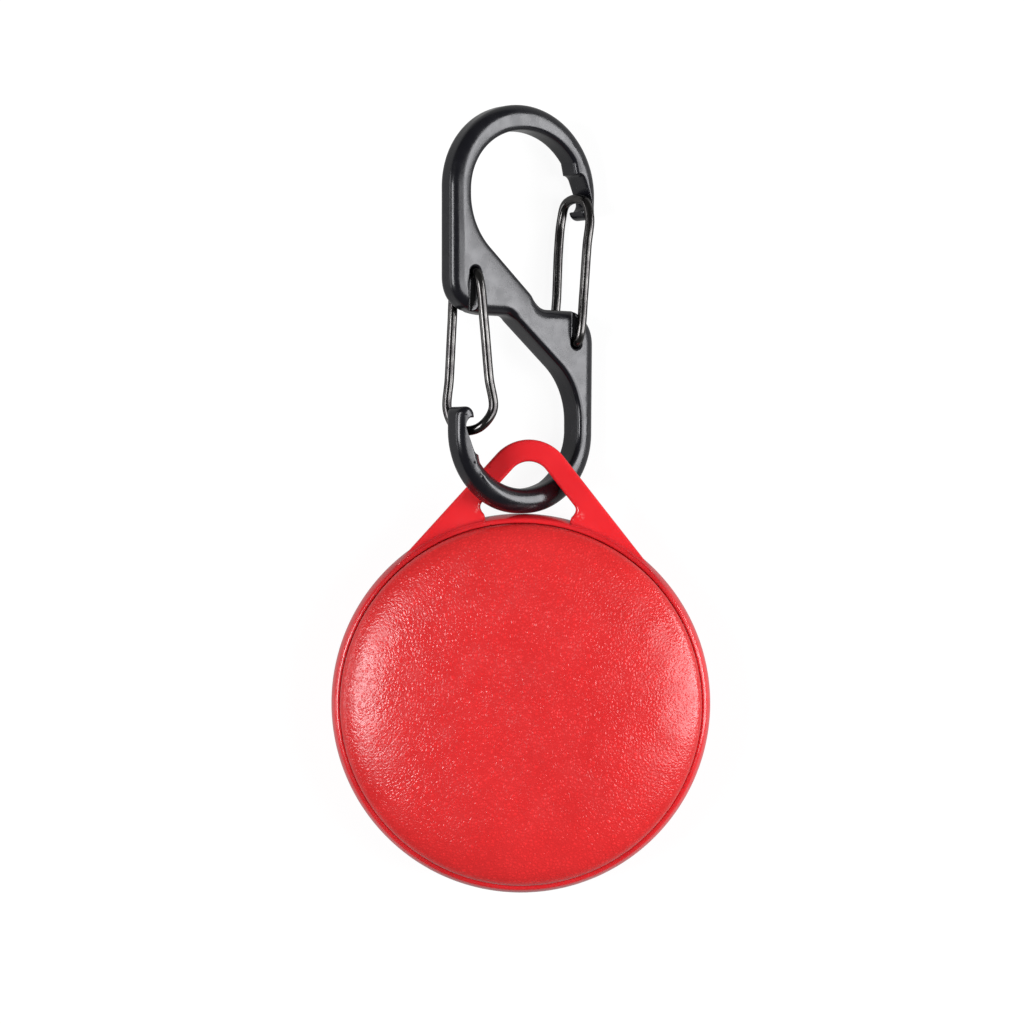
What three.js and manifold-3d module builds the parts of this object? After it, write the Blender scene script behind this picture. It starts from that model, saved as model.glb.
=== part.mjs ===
// A button clicker for pet training, with a wire-gate double hook on its lug.
// Millimetres, +Z up. The case lies on its back pad, and the origin is the centre of that
// resting face. The lug points along +Y.

import * as THREE from 'three';
import { mergeVertices } from 'three/addons/utils/BufferGeometryUtils.js';
import Module from 'manifold-3d';

const wasm = await Module();
wasm.setup();

// Case, radial sizes
const discRadius = 20;
const lipInset = 0.45;
const lipWall = 0.55;
const seamGap = 0.2;
const leatherThickness = 0.75;
const glueLine = 0.05;
const carrierWall = 1.3;
const boreInset = 2.6;
const slideGap = 0.3;
const skirtWall = 0.8;
const fixingInset = 3.6;
const deckInset = 1.8;

// Case, heights from the resting face upwards
const backPadThickness = 0.7;
const backPadProud = 0.15;
const floorThickness = 1;
const runGap = 0.2;
const buttonTravel = 1;
const barbHeight = 0.7;
const barbGap = 0.1;
const deckThickness = 1.2;
const pressGap = 0.3;
const skirtEngagement = 0.2;
const hemGap = 0.6;
const hemHeight = 0.8;
const crownRise = 3.2;
const spigotHeight = 0.4;

// The crown is a superellipse, rounder at its edge than in its middle
const crownExponent = 2.5;

// Click mechanism
const snapRise = 1.5;
const snapThickness = 0.25;
const snapSeatDepth = 0.3;
const seatWallHeight = 1.3;
const retainerThickness = 0.8;
const retainerOverlap = 0.6;
const plungerRadius = 1.7;
const plungerStemRadius = 1.1;
const plungerStemLength = 1.6;
const plungerGap = 0.1;
const socketWall = 1;

// Fasteners and springs
const caseScrewRadius = 0.8;
const caseScrewHeadRadius = 1.6;
const caseScrewHeadHeight = 1.1;
const caseScrewLength = 4.4;
const retainerScrewRadius = 0.6;
const retainerScrewHeadRadius = 1.15;
const retainerScrewHeadHeight = 0.7;
const retainerScrewLength = 2.3;
const threadGap = 0.06;
const headGap = 0.25;
const bossWall = 1.1;
const springRadius = 1.45;
const springWire = 0.34;
const springTurns = 4;
const springSeatGap = 0.05;
const legThickness = 1.1;
const legWidth = 3;
const barbReach = 0.6;
const driveShare = 0.8;

// Lug
const lugThickness = 1.9;
const lugMidHeight = 6.7;
const lugArchRadius = 4.6;
const lugBarWidth = 2.3;
const lugArchOffset = 3.2;
const lugHalfAngle = 0.87;
const lugEyeCornerRadius = 0.7;
const lugEyeInset = 0.5;
const lugEdgeRound = 0.35;

// Double hook body, in its own plane: u across, v along, w through its thickness
const hookThickness = 3;
const hookEdgeRound = 0.8;
const hookUpperRun = 12.3;
const hookLowerRun = 12.95;
const hookUpperHeight = 9.05;
const hookLowerHeight = 8.55;
const hookUpperReach = 9.7;
const hookLowerReach = 9.1;
const hookUpperShift = 0.15;
const hookLowerShift = 0.35;
const hookUpperCrown = 2.35;
const hookLowerCrown = 2.25;
const hookUpperBand = 2.25;
const hookLowerBand = 2.1;
const hookUpperEyeShift = 0.35;
const hookLowerEyeShift = 0.2;
const hookUpperEyeDrop = 0.3;
const hookLowerEyeDrop = 0.35;
const hookLowerColumn = 0.1;
const hookUpperWaist = 0.4;
const hookLowerWaist = 1;
const hookWebWidth = 3.4;
const hookCornerHeight = 3.6;
const hookCornerDrop = 0.9;
const hookCornerWidth = 2.65;
const hookFootDrop = 0.85;
const hookFootHeight = 3.05;
const hookFootBulge = 0.3;
const hookFootWidth = 4.4;
const hookLedgeBlend = 0.78;
const hookNoseWidth = 1.9;
const hookNoseReach = 2.5;
const hookNoseAngle = 0.6;
const hookNotchRadius = 0.9;
const hookNotchInset = 0.2;
const hookNotchBelow = 0.5;
const hookNotchAbove = 0.3;

// Wire gates
const wireRadius = 0.5;
const gateHalfWidth = 2.35;
const gateFaceGap = 0.12;
const gateEndDepth = 1.1;
const pivotInset = 2.75;
const pivotAlong = 3.4;
const pivotHoleGap = 0.15;
const gateUpperTipDrop = 0.25;
const gateUpperNotchGap = 0.25;
const gateLowerNotchGap = 0.2;
const gateBendRadius = 2.2;
const gateTwist = 1.55;
const gateBackShare = 0.5;
const bendAcrossShare = 0.4;
const bendDropShare = 0.22;
const bendThroughShare = 0.7;
const reliefWidth = 1.5;
const reliefDepth = 0.55;
const reliefRun = 6;
const reliefLean = 0.25;

// How the hook hangs: photographed lean, tilt and place against the lug
const hangLean = 0.037;
const hookTilt = 0.681;
const hookRestGap = 0.52;
const hookCrossing = 1.05;
const hookSideShift = -0.3;

// Counts, and the small lengths that cuts and outlines share
const RING_SEGMENTS = 60;
const CASE_SEGMENTS = 36;
const SMALL_SEGMENTS = 12;
const DRIVE_SEGMENTS = 6;
const FASTENER_COUNT = 3;
const CROWN_STEPS = 9;
const WALL_STEPS = 7;
const ARC_SEGMENTS = 7;
const EDGE_SEGMENTS = 2;
const SLOT_SEGMENTS = 4;
const WIRE_STEPS = 64;
const overrun = 1;
const pointSpacing = 0.02;
const weldDistance = 1e-5;

// Heights worked out from the stack
const floorTop = backPadThickness + floorThickness;
const barbBottom = floorTop + runGap + buttonTravel;
const barbTop = barbBottom + barbHeight;
const deckBottom = barbTop + barbGap;
const deckTop = deckBottom + deckThickness;
const skirtBottom = deckTop + pressGap + buttonTravel;
const stepHeight = skirtBottom + skirtEngagement;
const hemBottom = stepHeight + hemGap + buttonTravel;
const crownBase = hemBottom + hemHeight;
const partingHeight = deckBottom - spigotHeight;
const lipTop = hemBottom + backPadProud;
const seatTop = floorTop + seatWallHeight;
const shoulderHeight = lipTop - lipWall / 2;

// Radii worked out from the disc inwards
const lipOuter = discRadius - lipInset;
const lipInner = lipOuter - lipWall;
const leatherRadius = lipInner - seamGap;
const carrierRadius = leatherRadius - leatherThickness - glueLine;
const boreRadius = discRadius - boreInset;
const skirtRadius = boreRadius - slideGap;
const fixingRadius = boreRadius - fixingInset;
const deckInner = fixingRadius - deckInset;
const padRadius = fixingRadius + caseScrewHeadRadius + headGap + carrierWall / 2;
const retainerOuter = deckInner - headGap - slideGap;
const retainerScrewCircle = retainerOuter - bossWall - retainerScrewRadius;
const snapRadius = retainerScrewCircle - retainerScrewHeadRadius - slideGap;
const retainerInner = snapRadius - retainerOverlap;

/** A standard material from a colour and its finish. */
function finish(color, roughness, metalness) {
  return new THREE.MeshStandardMaterial({ color, roughness, metalness });
}

const materials = {
  glossRed: finish(0xe4232a, 0.22, 0),
  leather: finish(0xe03a38, 0.55, 0),
  whitePlastic: finish(0xe9e6df, 0.45, 0),
  blackRubber: finish(0x1c1c1e, 0.7, 0),
  springSteel: finish(0xb9bcc0, 0.3, 1),
  zincScrew: finish(0xa9acb0, 0.35, 1),
  blackCast: finish(0x232326, 0.3, 0.4),
  blackWire: finish(0x2e2d2c, 0.22, 0.9),
};

/** Joins a geometry's shared corners, drops empty faces and turns it to face outwards. */
function closed(geometry) {
  const bare = geometry.clone();
  bare.deleteAttribute('normal');
  bare.deleteAttribute('uv');
  const merged = mergeVertices(bare, weldDistance);
  const place = merged.attributes.position;
  const corners = [];
  const [a, b, c] = [new THREE.Vector3(), new THREE.Vector3(), new THREE.Vector3()];
  let volume = 0;
  for (let i = 0; i < merged.index.count; i += 3) {
    const face = [0, 1, 2].map((k) => merged.index.getX(i + k));
    if (new Set(face).size < 3) continue;
    [a, b, c].forEach((point, k) => point.fromBufferAttribute(place, face[k]));
    volume += a.dot(b.cross(c));
    corners.push(face);
  }
  const order = volume < 0 ? (face) => face.reverse() : (face) => face;
  merged.setIndex(corners.flatMap(order));
  return merged;
}

/** A geometry as a solid that can be joined and cut. */
function solid(geometry) {
  const { attributes, index } = closed(geometry);
  return new wasm.Manifold(new wasm.Mesh({
    numProp: 3,
    vertProperties: new Float32Array(attributes.position.array),
    triVerts: new Uint32Array(index.array),
  }));
}

/** A solid, or a geometry, as a named mesh. */
function piece(name, shape, material) {
  let geometry = shape;
  if (shape.getMesh) {
    const { vertProperties, triVerts } = shape.getMesh();
    geometry = new THREE.BufferGeometry();
    geometry.setAttribute('position', new THREE.BufferAttribute(vertProperties, 3));
    geometry.setIndex(new THREE.BufferAttribute(triVerts, 1));
  } else {
    geometry = closed(shape);
  }
  geometry.computeVertexNormals();
  const mesh = new THREE.Mesh(geometry, material);
  mesh.name = name;
  return mesh;
}

/** A profile of [radius, height] pairs turned about Z. A ring's profile closes on itself. */
function turned(profile, segments = CASE_SEGMENTS) {
  const points = profile.map(([radius, height]) => new THREE.Vector2(radius, height));
  return new THREE.LatheGeometry(points, segments).rotateX(Math.PI / 2);
}

/** An upright round bar between two heights. */
function bar(radius, bottom, top, x = 0, y = 0, segments = SMALL_SEGMENTS) {
  const height = top - bottom;
  const geometry = new THREE.CylinderGeometry(radius, radius, height, segments);
  return geometry.rotateX(Math.PI / 2).translate(x, y, bottom + height / 2);
}

/** The places of a ring of equal pieces, as {x, y, angle}. */
function around(radius, start) {
  return Array.from({ length: FASTENER_COUNT }, (_, i) => {
    const angle = start + (i * 2 * Math.PI) / FASTENER_COUNT;
    return { x: radius * Math.cos(angle), y: radius * Math.sin(angle), angle };
  });
}

const SCREW_START = Math.PI / 2;
const SPRING_START = Math.PI / 6;
const LEG_START = Math.PI / 3;

/** Points of the crown's superellipse, from its middle out to its edge. */
function crown(radius, base, rise) {
  return Array.from({ length: CROWN_STEPS + 1 }, (_, i) => {
    const t = (i / CROWN_STEPS) * (Math.PI / 2);
    const across = Math.pow(Math.sin(t), 2 / crownExponent);
    const up = Math.pow(Math.cos(t), 2 / crownExponent);
    return [i === 0 ? 0 : radius * across, i === CROWN_STEPS ? base : base + rise * up];
  });
}

/** An outline's points without the doubles that meeting arcs and lines leave. */
function distinct(points) {
  const kept = points.filter((point, i) => i === 0 || point.distanceTo(points[i - 1]) > pointSpacing);
  return kept[0].distanceTo(kept[kept.length - 1]) > pointSpacing ? kept : kept.slice(0, -1);
}

/** A flat outline as a plate with rounded edges, centred on its own plane. */
function plate(outline, thickness, edge) {
  const smooth = new THREE.Shape(distinct(outline.getPoints(ARC_SEGMENTS)));
  return new THREE.ExtrudeGeometry(smooth, {
    depth: thickness - 2 * edge,
    bevelEnabled: true,
    bevelThickness: edge,
    bevelSize: edge,
    bevelOffset: -edge,
    bevelSegments: EDGE_SEGMENTS,
    curveSegments: 1,
  }).translate(0, 0, edge - thickness / 2);
}

/** Cuts every geometry of a list out of a solid. */
function cut(body, geometries) {
  return geometries.reduce((rest, geometry) => rest.subtract(solid(geometry)), body);
}

/** Joins every geometry of a list to a solid. */
function join(body, geometries) {
  return geometries.reduce((whole, geometry) => whole.add(solid(geometry)), body);
}

// Screw heights, shared by the screws and their holes
const caseHeadBottom = backPadThickness + barbGap;
const caseHeadTop = caseHeadBottom + caseScrewHeadHeight;
const caseTip = caseHeadBottom + caseScrewLength;
const retainerTop = seatTop + retainerThickness;
const retainerTip = retainerTop - retainerScrewLength;
const snapSeat = floorTop + snapSeatDepth;
const snapTop = snapSeat + snapThickness + snapRise;

/** The outline of the lug's plate: a horseshoe whose two feet stand in the ring. */
function lugOutline() {
  const centre = discRadius + lugArchOffset;
  const [across, down] = [Math.sin(lugHalfAngle), Math.cos(lugHalfAngle)];
  const foot = centre * down + lugArchRadius;
  const root = boreRadius - boreInset;
  const eyeRadius = lugArchRadius - lugBarWidth;
  const eyeHalf = lugArchRadius + lugEyeCornerRadius;
  const run = (eyeHalf - eyeRadius * across) / down;
  const corner = [eyeHalf, centre + eyeRadius * down - run * across];
  const start = [corner[0] - lugEyeCornerRadius * down, corner[1] + lugEyeCornerRadius * across];
  const end = [eyeHalf - lugEyeCornerRadius, corner[1] - lugEyeCornerRadius];
  const spread = Math.asin((end[0] - lugEyeCornerRadius / 2) / root);
  const outline = new THREE.Shape();
  outline.moveTo(foot * across, foot * down);
  outline.lineTo(lugArchRadius * across, centre + lugArchRadius * down);
  outline.absarc(0, centre, lugArchRadius, Math.PI / 2 - lugHalfAngle, Math.PI / 2 + lugHalfAngle, false);
  outline.lineTo(-foot * across, foot * down);
  outline.lineTo(-root * across, root * down);
  outline.absarc(0, 0, root, Math.PI / 2 + lugHalfAngle, Math.PI / 2 + spread, true);
  outline.lineTo(-end[0], end[1]);
  outline.quadraticCurveTo(-corner[0], corner[1], -start[0], start[1]);
  outline.lineTo(-eyeRadius * across, centre + eyeRadius * down);
  outline.absarc(0, centre, eyeRadius, Math.PI / 2 + lugHalfAngle, Math.PI / 2 - lugHalfAngle, true);
  outline.lineTo(start[0], start[1]);
  outline.quadraticCurveTo(corner[0], corner[1], end[0], end[1]);
  outline.lineTo(root * Math.sin(spread), root * Math.cos(spread));
  outline.absarc(0, 0, root, Math.PI / 2 - spread, Math.PI / 2 - lugHalfAngle, true);
  return outline;
}

/** The outer wall of the ring, a shallow barrel, from its parting face to its lip. */
function barrel() {
  const waist = lugMidHeight - lugThickness / 2;
  return Array.from({ length: WALL_STEPS + 1 }, (_, i) => {
    const height = partingHeight + ((shoulderHeight - partingHeight) * i) / WALL_STEPS;
    const reach = height < waist ? waist - partingHeight : shoulderHeight - waist;
    return [discRadius - lipInset * Math.pow(Math.abs(height - waist) / reach, 2), height];
  });
}

function frameRing() {
  const ring = turned([
    [deckInner, deckBottom], [boreRadius, deckBottom], [boreRadius, partingHeight],
    ...barrel(),
    [lipOuter - lipWall / 4, lipTop], [lipInner + seamGap / 2, lipTop], [lipInner, lipTop - seamGap / 2],
    [lipInner, stepHeight], [boreRadius, stepHeight], [boreRadius, deckTop], [deckInner, deckTop],
    [deckInner, deckBottom],
  ], RING_SEGMENTS);
  const lug = plate(lugOutline(), lugThickness, lugEdgeRound).translate(0, 0, lugMidHeight);
  const inside = bar(lipOuter - lipWall / 2, -overrun, lugMidHeight + lugThickness, 0, 0, RING_SEGMENTS);
  const bosses = around(fixingRadius, SCREW_START).map(({ x, y }) =>
    bar(caseScrewRadius + bossWall, deckBottom, caseTip + pressGap, x, y));
  const pilots = around(fixingRadius, SCREW_START).map(({ x, y }) =>
    bar(caseScrewRadius + threadGap, deckBottom - overrun, caseTip + threadGap, x, y));
  const slots = around(fixingRadius, LEG_START).map(({ x, y, angle }) =>
    new THREE.BoxGeometry(legThickness + 2 * slideGap, legWidth + 2 * slideGap, deckThickness + 2 * overrun)
      .rotateZ(angle).translate(x, y, (deckBottom + deckTop) / 2));
  const ringWithLug = solid(ring).add(cut(solid(lug), [inside]));
  return piece('frame_ring', cut(join(ringWithLug, bosses), [...pilots, ...slots]), materials.glossRed);
}

function backCover() {
  const recess = padRadius + seamGap;
  const rimRadius = recess + lipWall;
  const shoulder = Array.from({ length: WALL_STEPS + 1 }, (_, i) => {
    const t = (i / WALL_STEPS) * (Math.PI / 2);
    return [
      rimRadius + (lipOuter - rimRadius) * Math.sin(t),
      backPadProud + (partingHeight - backPadProud) * (1 - Math.cos(t)),
    ];
  });
  const spigotOuter = boreRadius - slideGap / 2;
  const spigotInner = spigotOuter - skirtWall;
  const spigotTop = deckBottom - barbGap;
  const seatWall = snapRadius + runGap;
  const shell = turned([
    [0, backPadThickness], [recess, backPadThickness], [recess, backPadProud],
    ...shoulder,
    [spigotOuter, partingHeight], [spigotOuter, spigotTop], [spigotInner, spigotTop],
    [spigotInner, floorTop], [retainerOuter, floorTop], [retainerOuter, seatTop],
    [seatWall, seatTop], [seatWall, snapSeat], [retainerInner, snapSeat], [retainerInner, floorTop],
    [0, floorTop],
  ], RING_SEGMENTS);
  const places = around(fixingRadius, SCREW_START);
  const pocketRadius = caseScrewHeadRadius + headGap;
  const pillars = places.map(({ x, y }) =>
    bar(pocketRadius + skirtWall / 2, floorTop - floorThickness / 2, deckBottom, x, y));
  const pockets = places.map(({ x, y }) =>
    bar(pocketRadius, backPadThickness - overrun, caseHeadTop + barbGap, x, y));
  const holes = places.map(({ x, y }) =>
    bar(caseScrewRadius + 2 * threadGap, backPadThickness, deckBottom + overrun, x, y));
  const pilots = around(retainerScrewCircle, SPRING_START).map(({ x, y }) =>
    bar(retainerScrewRadius + threadGap, retainerTip - threadGap, seatTop + overrun, x, y));
  return piece('back_cover', cut(join(solid(shell), pillars), [...pockets, ...holes, ...pilots]),
    materials.glossRed);
}

function backLeather() {
  const edge = backPadThickness / 2;
  return piece('back_leather', turned([
    [0, 0], [padRadius - edge, 0], [padRadius - edge / 3, edge / 3], [padRadius, edge],
    [padRadius, backPadThickness], [0, backPadThickness],
  ]), materials.leather);
}

// Underside of the button's carrier, shared with what hangs from it
const carrierRise = crownRise - leatherThickness - glueLine;
const undersideRise = carrierRise - carrierWall;
const undersideTop = crownBase + undersideRise;
const skirtInner = skirtRadius - skirtWall;
const socketRadius = plungerStemRadius + threadGap + socketWall;
const plungerBottom = snapTop + plungerGap;
const socketBottom = undersideTop - plungerStemLength - socketWall;

function frontButton() {
  const cap = turned([
    ...crown(skirtInner, crownBase, undersideRise),
    [skirtInner, skirtBottom], [skirtRadius, skirtBottom], [skirtRadius, hemBottom],
    [carrierRadius, hemBottom],
    ...crown(carrierRadius, crownBase, carrierRise).reverse(),
  ], RING_SEGMENTS);
  const root = undersideTop - barbGap;
  const seats = around(fixingRadius, SPRING_START).map(({ x, y }) =>
    bar(springRadius + springWire, crownBase, root, x, y));
  const posts = around(fixingRadius, SPRING_START).map(({ x, y }) =>
    bar(springRadius - springWire - runGap, crownBase - carrierWall, root, x, y));
  const legs = around(fixingRadius, LEG_START).flatMap(({ x, y, angle }) => [
    new THREE.BoxGeometry(legThickness, legWidth, root - barbBottom)
      .rotateZ(angle).translate(x, y, (root + barbBottom) / 2),
    new THREE.BoxGeometry(legThickness + barbReach, legWidth, barbHeight)
      .translate(barbReach / 2, 0, 0).rotateZ(angle).translate(x, y, (barbTop + barbBottom) / 2),
  ]);
  const socket = bar(socketRadius, socketBottom, undersideTop + carrierWall / 2);
  const stemHole = bar(plungerStemRadius + threadGap, socketBottom - overrun,
    socketBottom + plungerStemLength + threadGap);
  return piece('front_button', cut(join(solid(cap), [...seats, ...posts, ...legs, socket]), [stemHole]),
    materials.glossRed);
}

function frontLeather() {
  const inside = crown(carrierRadius + glueLine, crownBase, carrierRise + glueLine);
  const outside = crown(leatherRadius, crownBase, crownRise);
  return piece('front_leather', turned([
    ...inside, [carrierRadius + glueLine, hemBottom], [leatherRadius - glueLine, hemBottom],
    [leatherRadius, hemBottom + glueLine],
    ...outside.reverse(),
  ], RING_SEGMENTS), materials.leather);
}

function plunger() {
  const chamfer = plungerGap * 2;
  return piece('plunger_tip', turned([
    [0, plungerBottom], [plungerRadius - chamfer, plungerBottom], [plungerRadius, plungerBottom + chamfer],
    [plungerRadius, socketBottom], [plungerStemRadius, socketBottom],
    [plungerStemRadius, socketBottom + plungerStemLength], [0, socketBottom + plungerStemLength],
  ], SMALL_SEGMENTS), materials.blackRubber);
}

function snapDisc() {
  const steps = 6;
  const arch = Array.from({ length: steps + 1 }, (_, i) => {
    const share = i / steps;
    return [snapRadius * share, snapSeat + snapRise * (1 - share * share)];
  });
  return piece('snap_disc', turned([
    ...arch,
    ...arch.map(([radius, height]) => [radius, height + snapThickness]).reverse(),
  ]), materials.springSteel);
}

function discRetainer() {
  const lipBottom = snapSeat + 2 * snapThickness;
  const ring = turned([
    [retainerInner, lipBottom], [snapRadius, lipBottom], [snapRadius, seatTop], [retainerOuter, seatTop],
    [retainerOuter, retainerTop], [retainerInner, retainerTop], [retainerInner, lipBottom],
  ]);
  const holes = around(retainerScrewCircle, SPRING_START).map(({ x, y }) =>
    bar(retainerScrewRadius + 2 * threadGap, seatTop - overrun, retainerTop + overrun, x, y));
  return piece('disc_retainer', cut(solid(ring), holes), materials.whitePlastic);
}

/** A self-tapping screw whose head starts at a place. It points up, or down where `down` is true. */
function screw(name, sizes, place, down) {
  const { radius, headRadius, headHeight, length } = sizes;
  const driveRadius = radius * driveShare;
  const body = turned([
    [0, 0], [headRadius - headHeight / 4, 0], [headRadius, headHeight / 3], [headRadius, headHeight],
    [radius, headHeight], [radius, length - radius], [radius / 4, length], [0, length],
  ], SMALL_SEGMENTS);
  const drive = bar(driveRadius, -headHeight / 2, headHeight / 2, 0, 0, DRIVE_SEGMENTS);
  const mesh = piece(name, cut(solid(body), [drive]), materials.zincScrew);
  mesh.rotation.x = down ? Math.PI : 0;
  mesh.position.set(...place);
  return mesh;
}

const caseScrewSizes = {
  radius: caseScrewRadius,
  headRadius: caseScrewHeadRadius,
  headHeight: caseScrewHeadHeight,
  length: caseScrewLength,
};

const retainerScrewSizes = {
  radius: retainerScrewRadius,
  headRadius: retainerScrewHeadRadius,
  headHeight: retainerScrewHeadHeight,
  length: retainerScrewLength + retainerScrewHeadHeight,
};

/** A coil spring between two heights, one unbroken round wire. */
function coil(name, bottom, top) {
  const stepsPerTurn = 8;
  const steps = springTurns * stepsPerTurn;
  const sides = 5;
  const low = bottom + springWire / 2;
  const rise = top - bottom - springWire;
  const corners = [];
  const faces = [];
  for (let i = 0; i <= steps; i += 1) {
    const angle = (i / stepsPerTurn) * 2 * Math.PI;
    for (let k = 0; k < sides; k += 1) {
      const turn = (k / sides) * 2 * Math.PI;
      const radius = springRadius + (springWire / 2) * Math.cos(turn);
      const height = low + (rise * i) / steps + (springWire / 2) * Math.sin(turn);
      corners.push(radius * Math.cos(angle), radius * Math.sin(angle), height);
    }
  }
  for (let i = 0; i < steps; i += 1) {
    for (let k = 0; k < sides; k += 1) {
      const [a, b] = [i * sides + k, i * sides + ((k + 1) % sides)];
      faces.push(a, b, a + sides, b, b + sides, a + sides);
    }
  }
  for (let k = 1; k < sides - 1; k += 1) {
    const last = steps * sides;
    faces.push(0, k + 1, k, last, last + k, last + k + 1);
  }
  const geometry = new THREE.BufferGeometry();
  geometry.setAttribute('position', new THREE.Float32BufferAttribute(corners, 3));
  geometry.setIndex(faces);
  return piece(name, geometry, materials.springSteel);
}

// Centres of the hook's two loops, in its own plane
const upperEye = hookUpperRun - hookUpperEyeDrop;
const lowerEye = hookLowerEyeDrop - hookLowerRun;
const upperEyeHeight = hookUpperHeight - hookUpperCrown;
const lowerEyeHeight = hookLowerHeight - hookLowerCrown;
const upperEyeReach = hookUpperReach - hookUpperBand;
const lowerEyeReach = hookLowerReach - hookLowerBand;
const upperEyeAcross = hookUpperShift + hookUpperEyeShift;
const lowerEyeAcross = hookLowerShift - hookLowerEyeShift;
const leftOuter = hookUpperReach - hookUpperShift;
const leftInner = upperEyeReach - upperEyeAcross;
const rightOuter = hookLowerReach + hookLowerShift + hookLowerColumn;
const rightInner = lowerEyeReach + lowerEyeAcross;
const upperNoseOuter = hookUpperReach + hookUpperShift;
const lowerNoseOuter = hookLowerReach - hookLowerShift;
const upperShoulder = upperEye - hookUpperWaist;
const lowerShoulder = -lowerEye - hookLowerWaist;
const hookLengthDown = hookLowerRun + hookLowerHeight;

/** One side of the web, tangent to an eye's arc: its lean, and where its slope meets a ledge. */
function webSide(shoulder, eyeRadius, ledge) {
  const lean = Math.acos((hookWebWidth / 2 + eyeRadius) / shoulder);
  const foot = shoulder - eyeRadius * Math.cos(lean) - ledge;
  const meet = foot / Math.tan(lean) - eyeRadius * Math.sin(lean);
  const runOut = [meet - hookLedgeBlend * Math.cos(lean), ledge + hookLedgeBlend * Math.sin(lean)];
  return { lean, meet, runOut };
}

/** The hook's outline: an S, walked from the upper nose over the top, down the web and back. */
function hookOutline() {
  const above = webSide(upperShoulder, leftInner, 0);
  const below = webSide(lowerShoulder, rightInner, hookFootDrop);
  const noseTip = hookUpperRun - hookNoseReach;
  const lowerNoseTip = hookNoseReach - hookLowerRun;
  const tip = hookNoseWidth / 2;
  const outline = new THREE.Shape();
  const loop = (across, along, reach, height, from, to, clockwise) =>
    outline.absellipse(across, along, reach, height, from, to, clockwise, 0);
  outline.moveTo(upperNoseOuter, noseTip + tip);
  outline.lineTo(upperNoseOuter, hookUpperRun);
  loop(hookUpperShift, hookUpperRun, hookUpperReach, hookUpperHeight, 0, Math.PI, false);
  outline.lineTo(-leftOuter, hookFootHeight);
  outline.quadraticCurveTo(-leftOuter, hookFootBulge - hookFootDrop, hookFootWidth - leftOuter, -hookFootDrop);
  outline.lineTo(-below.meet - hookLedgeBlend, -hookFootDrop);
  outline.quadraticCurveTo(-below.meet, -hookFootDrop, ...below.runOut.map((place) => -place));
  outline.absarc(0, -lowerShoulder, rightInner, Math.PI / 2 - below.lean, 0, true);
  outline.lineTo(rightInner, lowerEye);
  loop(lowerEyeAcross, lowerEye, lowerEyeReach, lowerEyeHeight, 0, hookNoseAngle - Math.PI, true);
  outline.lineTo(hookNoseWidth - lowerNoseOuter, lowerNoseTip - tip);
  outline.absarc(tip - lowerNoseOuter, lowerNoseTip - tip, tip, 0, Math.PI, false);
  outline.lineTo(-lowerNoseOuter, -hookLowerRun);
  loop(hookLowerShift, -hookLowerRun, hookLowerReach, hookLowerHeight, Math.PI, 2 * Math.PI, false);
  outline.lineTo(rightOuter, -hookCornerHeight);
  outline.quadraticCurveTo(rightOuter, -hookCornerDrop, rightOuter - hookCornerWidth, 0);
  outline.lineTo(above.meet + hookLedgeBlend, 0);
  outline.quadraticCurveTo(above.meet, 0, ...above.runOut);
  outline.absarc(0, upperShoulder, leftInner, 1.5 * Math.PI - above.lean, Math.PI, true);
  outline.lineTo(-leftInner, upperEye);
  loop(upperEyeAcross, upperEye, upperEyeReach, upperEyeHeight, Math.PI, hookNoseAngle, true);
  outline.lineTo(upperNoseOuter - hookNoseWidth, noseTip + tip);
  outline.absarc(upperNoseOuter - tip, noseTip + tip, tip, Math.PI, 2 * Math.PI, false);
  return outline;
}

/** A slot with round ends through the hook's face, from one point of its plane to another. */
function slot(from, to, radius, low, high) {
  const angle = Math.atan2(to[1] - from[1], to[0] - from[0]);
  const outline = new THREE.Shape();
  outline.absarc(from[0], from[1], radius, angle + Math.PI / 2, angle + 1.5 * Math.PI, false);
  outline.absarc(to[0], to[1], radius, angle - Math.PI / 2, angle + Math.PI / 2, false);
  return new THREE.ExtrudeGeometry(outline, {
    depth: high - low,
    bevelEnabled: false,
    curveSegments: SLOT_SEGMENTS,
  }).translate(0, 0, low);
}

// Where the gates turn and rest, as distances across the hook from its middle line
const upperPivot = rightOuter - pivotInset;
const lowerPivot = leftOuter - pivotInset;
const upperNotch = upperNoseOuter - hookNoseWidth + hookNotchInset;
const lowerNotch = lowerNoseOuter - hookNoseWidth + hookNotchInset;
const upperSplay = upperNotch - gateUpperNotchGap - upperPivot;
const lowerSplay = lowerNotch - gateLowerNotchGap - lowerPivot;
const gateUpperTip = hookUpperRun - gateUpperTipDrop;
const gateLowerTip = hookLowerRun;

function hookBody() {
  const half = hookThickness / 2;
  const blank = plate(hookOutline(), hookThickness, hookEdgeRound);
  const through = half + overrun;
  const notch = (across, tip, side) => slot([across, side * (tip - hookNotchBelow)],
    [across, side * (tip + hookNotchAbove)], hookNotchRadius, -through, through);
  const cutters = [notch(upperNotch, gateUpperTip, 1), notch(-lowerNotch, gateLowerTip, -1)];
  for (const [side, across] of [[1, upperPivot], [-1, lowerPivot]]) {
    const pivot = [side * across, -side * pivotAlong];
    const mouth = [pivot[0] + side * reliefLean, pivot[1] + side * reliefRun];
    cutters.push(bar(wireRadius + pivotHoleGap, -through, through, ...pivot));
    cutters.push(slot(pivot, mouth, reliefWidth / 2, half - reliefDepth, through));
    cutters.push(slot(pivot, mouth, reliefWidth / 2, -through, reliefDepth - half));
  }
  return piece('hook_body', cut(solid(blank), cutters), materials.blackCast);
}

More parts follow.
